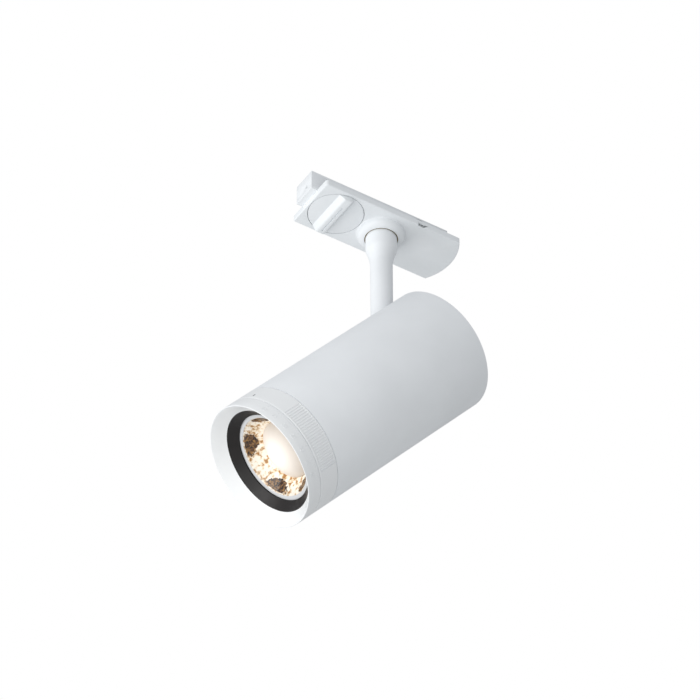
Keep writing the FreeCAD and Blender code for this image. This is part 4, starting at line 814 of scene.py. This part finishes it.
def make_cover_plate():
    """Plate under the track: rounded at one end, with the knob's recess and the pan boss."""
    plate = drum("cover_plate_moulding", TIP_RADIUS, PLATE_LOW, 0, TIP_MIDDLE, steps=PLATE_STEPS)
    sides = (
        ((0, PLATE_HALF, 0), (0, 1, 0)), ((0, -PLATE_HALF, 0), (0, -1, 0)), ((TIP_MIDDLE, 0, 0), (-1, 0, 0)),
    )
    for point, way in sides:
        edit()
        bpy.ops.mesh.select_all(action="SELECT")
        bpy.ops.mesh.bisect(
            plane_co=[value * MM for value in point], plane_no=way, use_fill=True, clear_outer=True
        )
        leave()
    pick(plate, "faces", lambda face: face.normal.x < -0.99)
    bpy.ops.mesh.extrude_region_move(
        TRANSFORM_OT_translate={"value": ((PLATE_LEFT - TIP_MIDDLE) * MM, 0, 0)}
    )
    mesh = plate.data

    def upright(edge):
        a, b = (mesh.vertices[index].co for index in edge.vertices)
        return abs(a.x - b.x) + abs(a.y - b.y) < 0.001 * MM and abs(abs(a.y) - PLATE_HALF * MM) < 0.01 * MM

    leave()
    for side_x, side_y, radius in PLATE_CORNERS:

        def corner(edge):
            spot = mesh.vertices[edge.vertices[0]].co
            return upright(edge) and spot.x * side_x > 0 and spot.y * side_y > 0

        pick(plate, "edges", corner)
        bpy.ops.mesh.bevel(offset=radius * MM, segments=6)
        leave()
    low = both_ends(mesh, lambda co: co.z < (PLATE_LOW + 0.01) * MM)
    pick(plate, "edges", low)
    bpy.ops.mesh.bevel(offset=0.55 * MM, segments=4)
    tidy_normals()
    leave()
    cut(plate, make_boss(), "UNION")
    cut(plate, drum("knob_recess", 15.85, PLATE_LOW - 2, -1.4, KNOB_X, steps=KNOB_STEPS))
    cut(plate, drum("rotor_hole", 6.12, -3, 1, KNOB_X, steps=64))
    cut(plate, drum("stem_bore", 9.44, -10, -2.4, steps=128))
    cut(plate, drum("spigot_hole", 4.46, -4, 1, steps=64))
    cut(plate, bar("adapter_seat", (-50, -7.9, -0.6), (39.6, 7.9, 2)))
    soften(plate, 0.18, 2, 40)
    settle(plate, "adapter", "white_plastic", "moulded", "cover_plate")


def make_boss():
    """Domed boss round the stem, flowing into the plate at its foot."""
    low, high = (13.5, -4.15), (10.44, -7.95)
    foot = [(14.6, -3.72), (14.1, -3.8), (13.75, -3.94)]
    dome = [low] + arc(low, high, -0.95, 10) + [high]
    section = [(0, -2.6), (14.6, -2.6)] + foot + dome + [(10.1, -8.0), (0, -8.0)]
    return turned("boss", section, 160)


def make_lock_knob():
    """Flush disc with a finger bar: long slope on one side, steep on the other, a line along it."""
    knob = drum("lock_knob_moulding", KNOB_RADIUS, PLATE_LOW, -1.5, KNOB_X, steps=KNOB_STEPS)
    crest = KNOB_X - 0.9
    ridge = bar("finger_bar", (crest - 2.4, -15.4, -6.7), (crest + 2.4, 15.4, -2.6))
    mesh = ridge.data
    pick(ridge, "vertices", lambda vertex: vertex.co.z > -3 * MM and vertex.co.x < KNOB_X * MM)
    bpy.ops.transform.translate(value=(-4.2 * MM, 0, 0))
    pick(ridge, "vertices", lambda vertex: vertex.co.z > -3 * MM and vertex.co.x > KNOB_X * MM)
    bpy.ops.transform.translate(value=(0.7 * MM, 0, 0))
    leave()
    pick(ridge, "edges", both_ends(mesh, lambda co: co.z < -6 * MM))
    bpy.ops.mesh.bevel(offset=0.8 * MM, segments=4)
    leave()
    cut(ridge, drum("bar_rim", KNOB_RADIUS, -8, -1, KNOB_X, steps=KNOB_STEPS), "INTERSECT")
    cut(knob, ridge, "UNION")
    cut(knob, bar("drive_peg", (KNOB_X - 3, -3, -2), (KNOB_X + 3, 3, 0.4)), "UNION")
    soften(knob, 0.35, 3, 32)
    cut(knob, bar("bar_line", (crest - 0.45, -8.5, -8), (crest + 0.45, 13.0, -6.1)))
    smooth(knob)
    settle(knob, "knob", "white_plastic", "moulded", "lock_knob")


# ---------------------------------------------------------------- CAD nodes left showing
CAD_FINISHES = {
    "moulded": (0.25, ["adapter_base", "adapter_cover"]),
    "powder_coat": (0.25, ["housing", "rear_cap", "stem"]),
    "holder": (0.2, ["led_holder", "driver_tray"]),
    "nylon": (0.12, ["terminal_block", "pan_friction_washer", "rotor", "tilt_washers"]),
    "black": (0.15, ["lens_barrel", "lens_carrier", "lens_retainer"]),
    "zinc": (0.12, [
        "cover_screws", "nose_screw", "locking_lug", "stop_washer", "tilt_bracket", "standoffs",
        "bracket_screws", "tilt_bolt", "tilt_nut", "clamp_screws", "cap_posts", "cap_screws",
        "holder_screws", "cam_pins",
    ]),
    "spring": (0.06, ["earth_spring", "rotor_clip", "pan_wave_washer", "tilt_spring_washer"]),
    "brass": (0.1, ["terminal_screws", "live_contact", "neutral_contact", "pan_nut"]),
    "bronze": (0.06, ["pan_bush"]),
    "cast": (0.25, ["knuckle", "heat_sink", "led_board"]),
    "board": (0.05, ["driver_board"]),
    "component": (0.3, ["driver_transformer", "driver_capacitors"]),
    "lead": (0, ["stem_leads", "led_leads"]),
    "phosphor": (0, ["led_emitter"]),
}


SEAM_ANGLE = 32  # edges sharper than this are real edges


def dress(node, finish, edge):
    """Gives a CAD node its finish, smooth curves and a fine highlight along its edges."""
    node.data.materials.clear()
    node.data.materials.append(FINISH[finish])
    node.data.polygons.foreach_set("use_smooth", [True] * len(node.data.polygons))
    weld = node.modifiers.new("weld", "WELD")
    weld.merge_threshold = 0.002 * MM
    if edge:
        flat = node.modifiers.new("flat_faces", "DECIMATE")
        flat.decimate_type = "DISSOLVE"
        flat.angle_limit = math.radians(0.5)
        bevel = node.modifiers.new("edges", "BEVEL")
        bevel.width = edge * MM
        bevel.segments = 2
        bevel.limit_method = "ANGLE"
        bevel.angle_limit = math.radians(SEAM_ANGLE)
    split = node.modifiers.new("sharp_edges", "EDGE_SPLIT")
    split.split_angle = math.radians(SEAM_ANGLE)


def dress_nodes():
    """Dresses every CAD node that no new piece stands for."""
    for finish, (edge, names) in CAD_FINISHES.items():
        for name in names:
            dress(NODES[name], finish, edge)


# ---------------------------------------------------------------- the whole scene
bpy.context.scene.view_settings.view_transform = "Standard"
make_camera()
make_world()
make_floor()
make_light("key_softbox", (-2.1, -0.5, -0.4), 1.5, 16, "FFFEFC")
make_light("front_softbox", (-1.2, -1.0, -1.4), 1.6, 8.5, "FFFFFF")
make_light("under_softbox", (-1.6, 1.0, -1.3), 1.6, 18, "FFFFFF")
make_finishes()
dress_nodes()
make_front_ring()
make_beam_scale()
make_zoom_ring()
make_baffle()
make_lens()
make_diffuser()
make_cover_plate()
make_lock_knob()

bpy.ops.object.select_all(action="DESELECT")
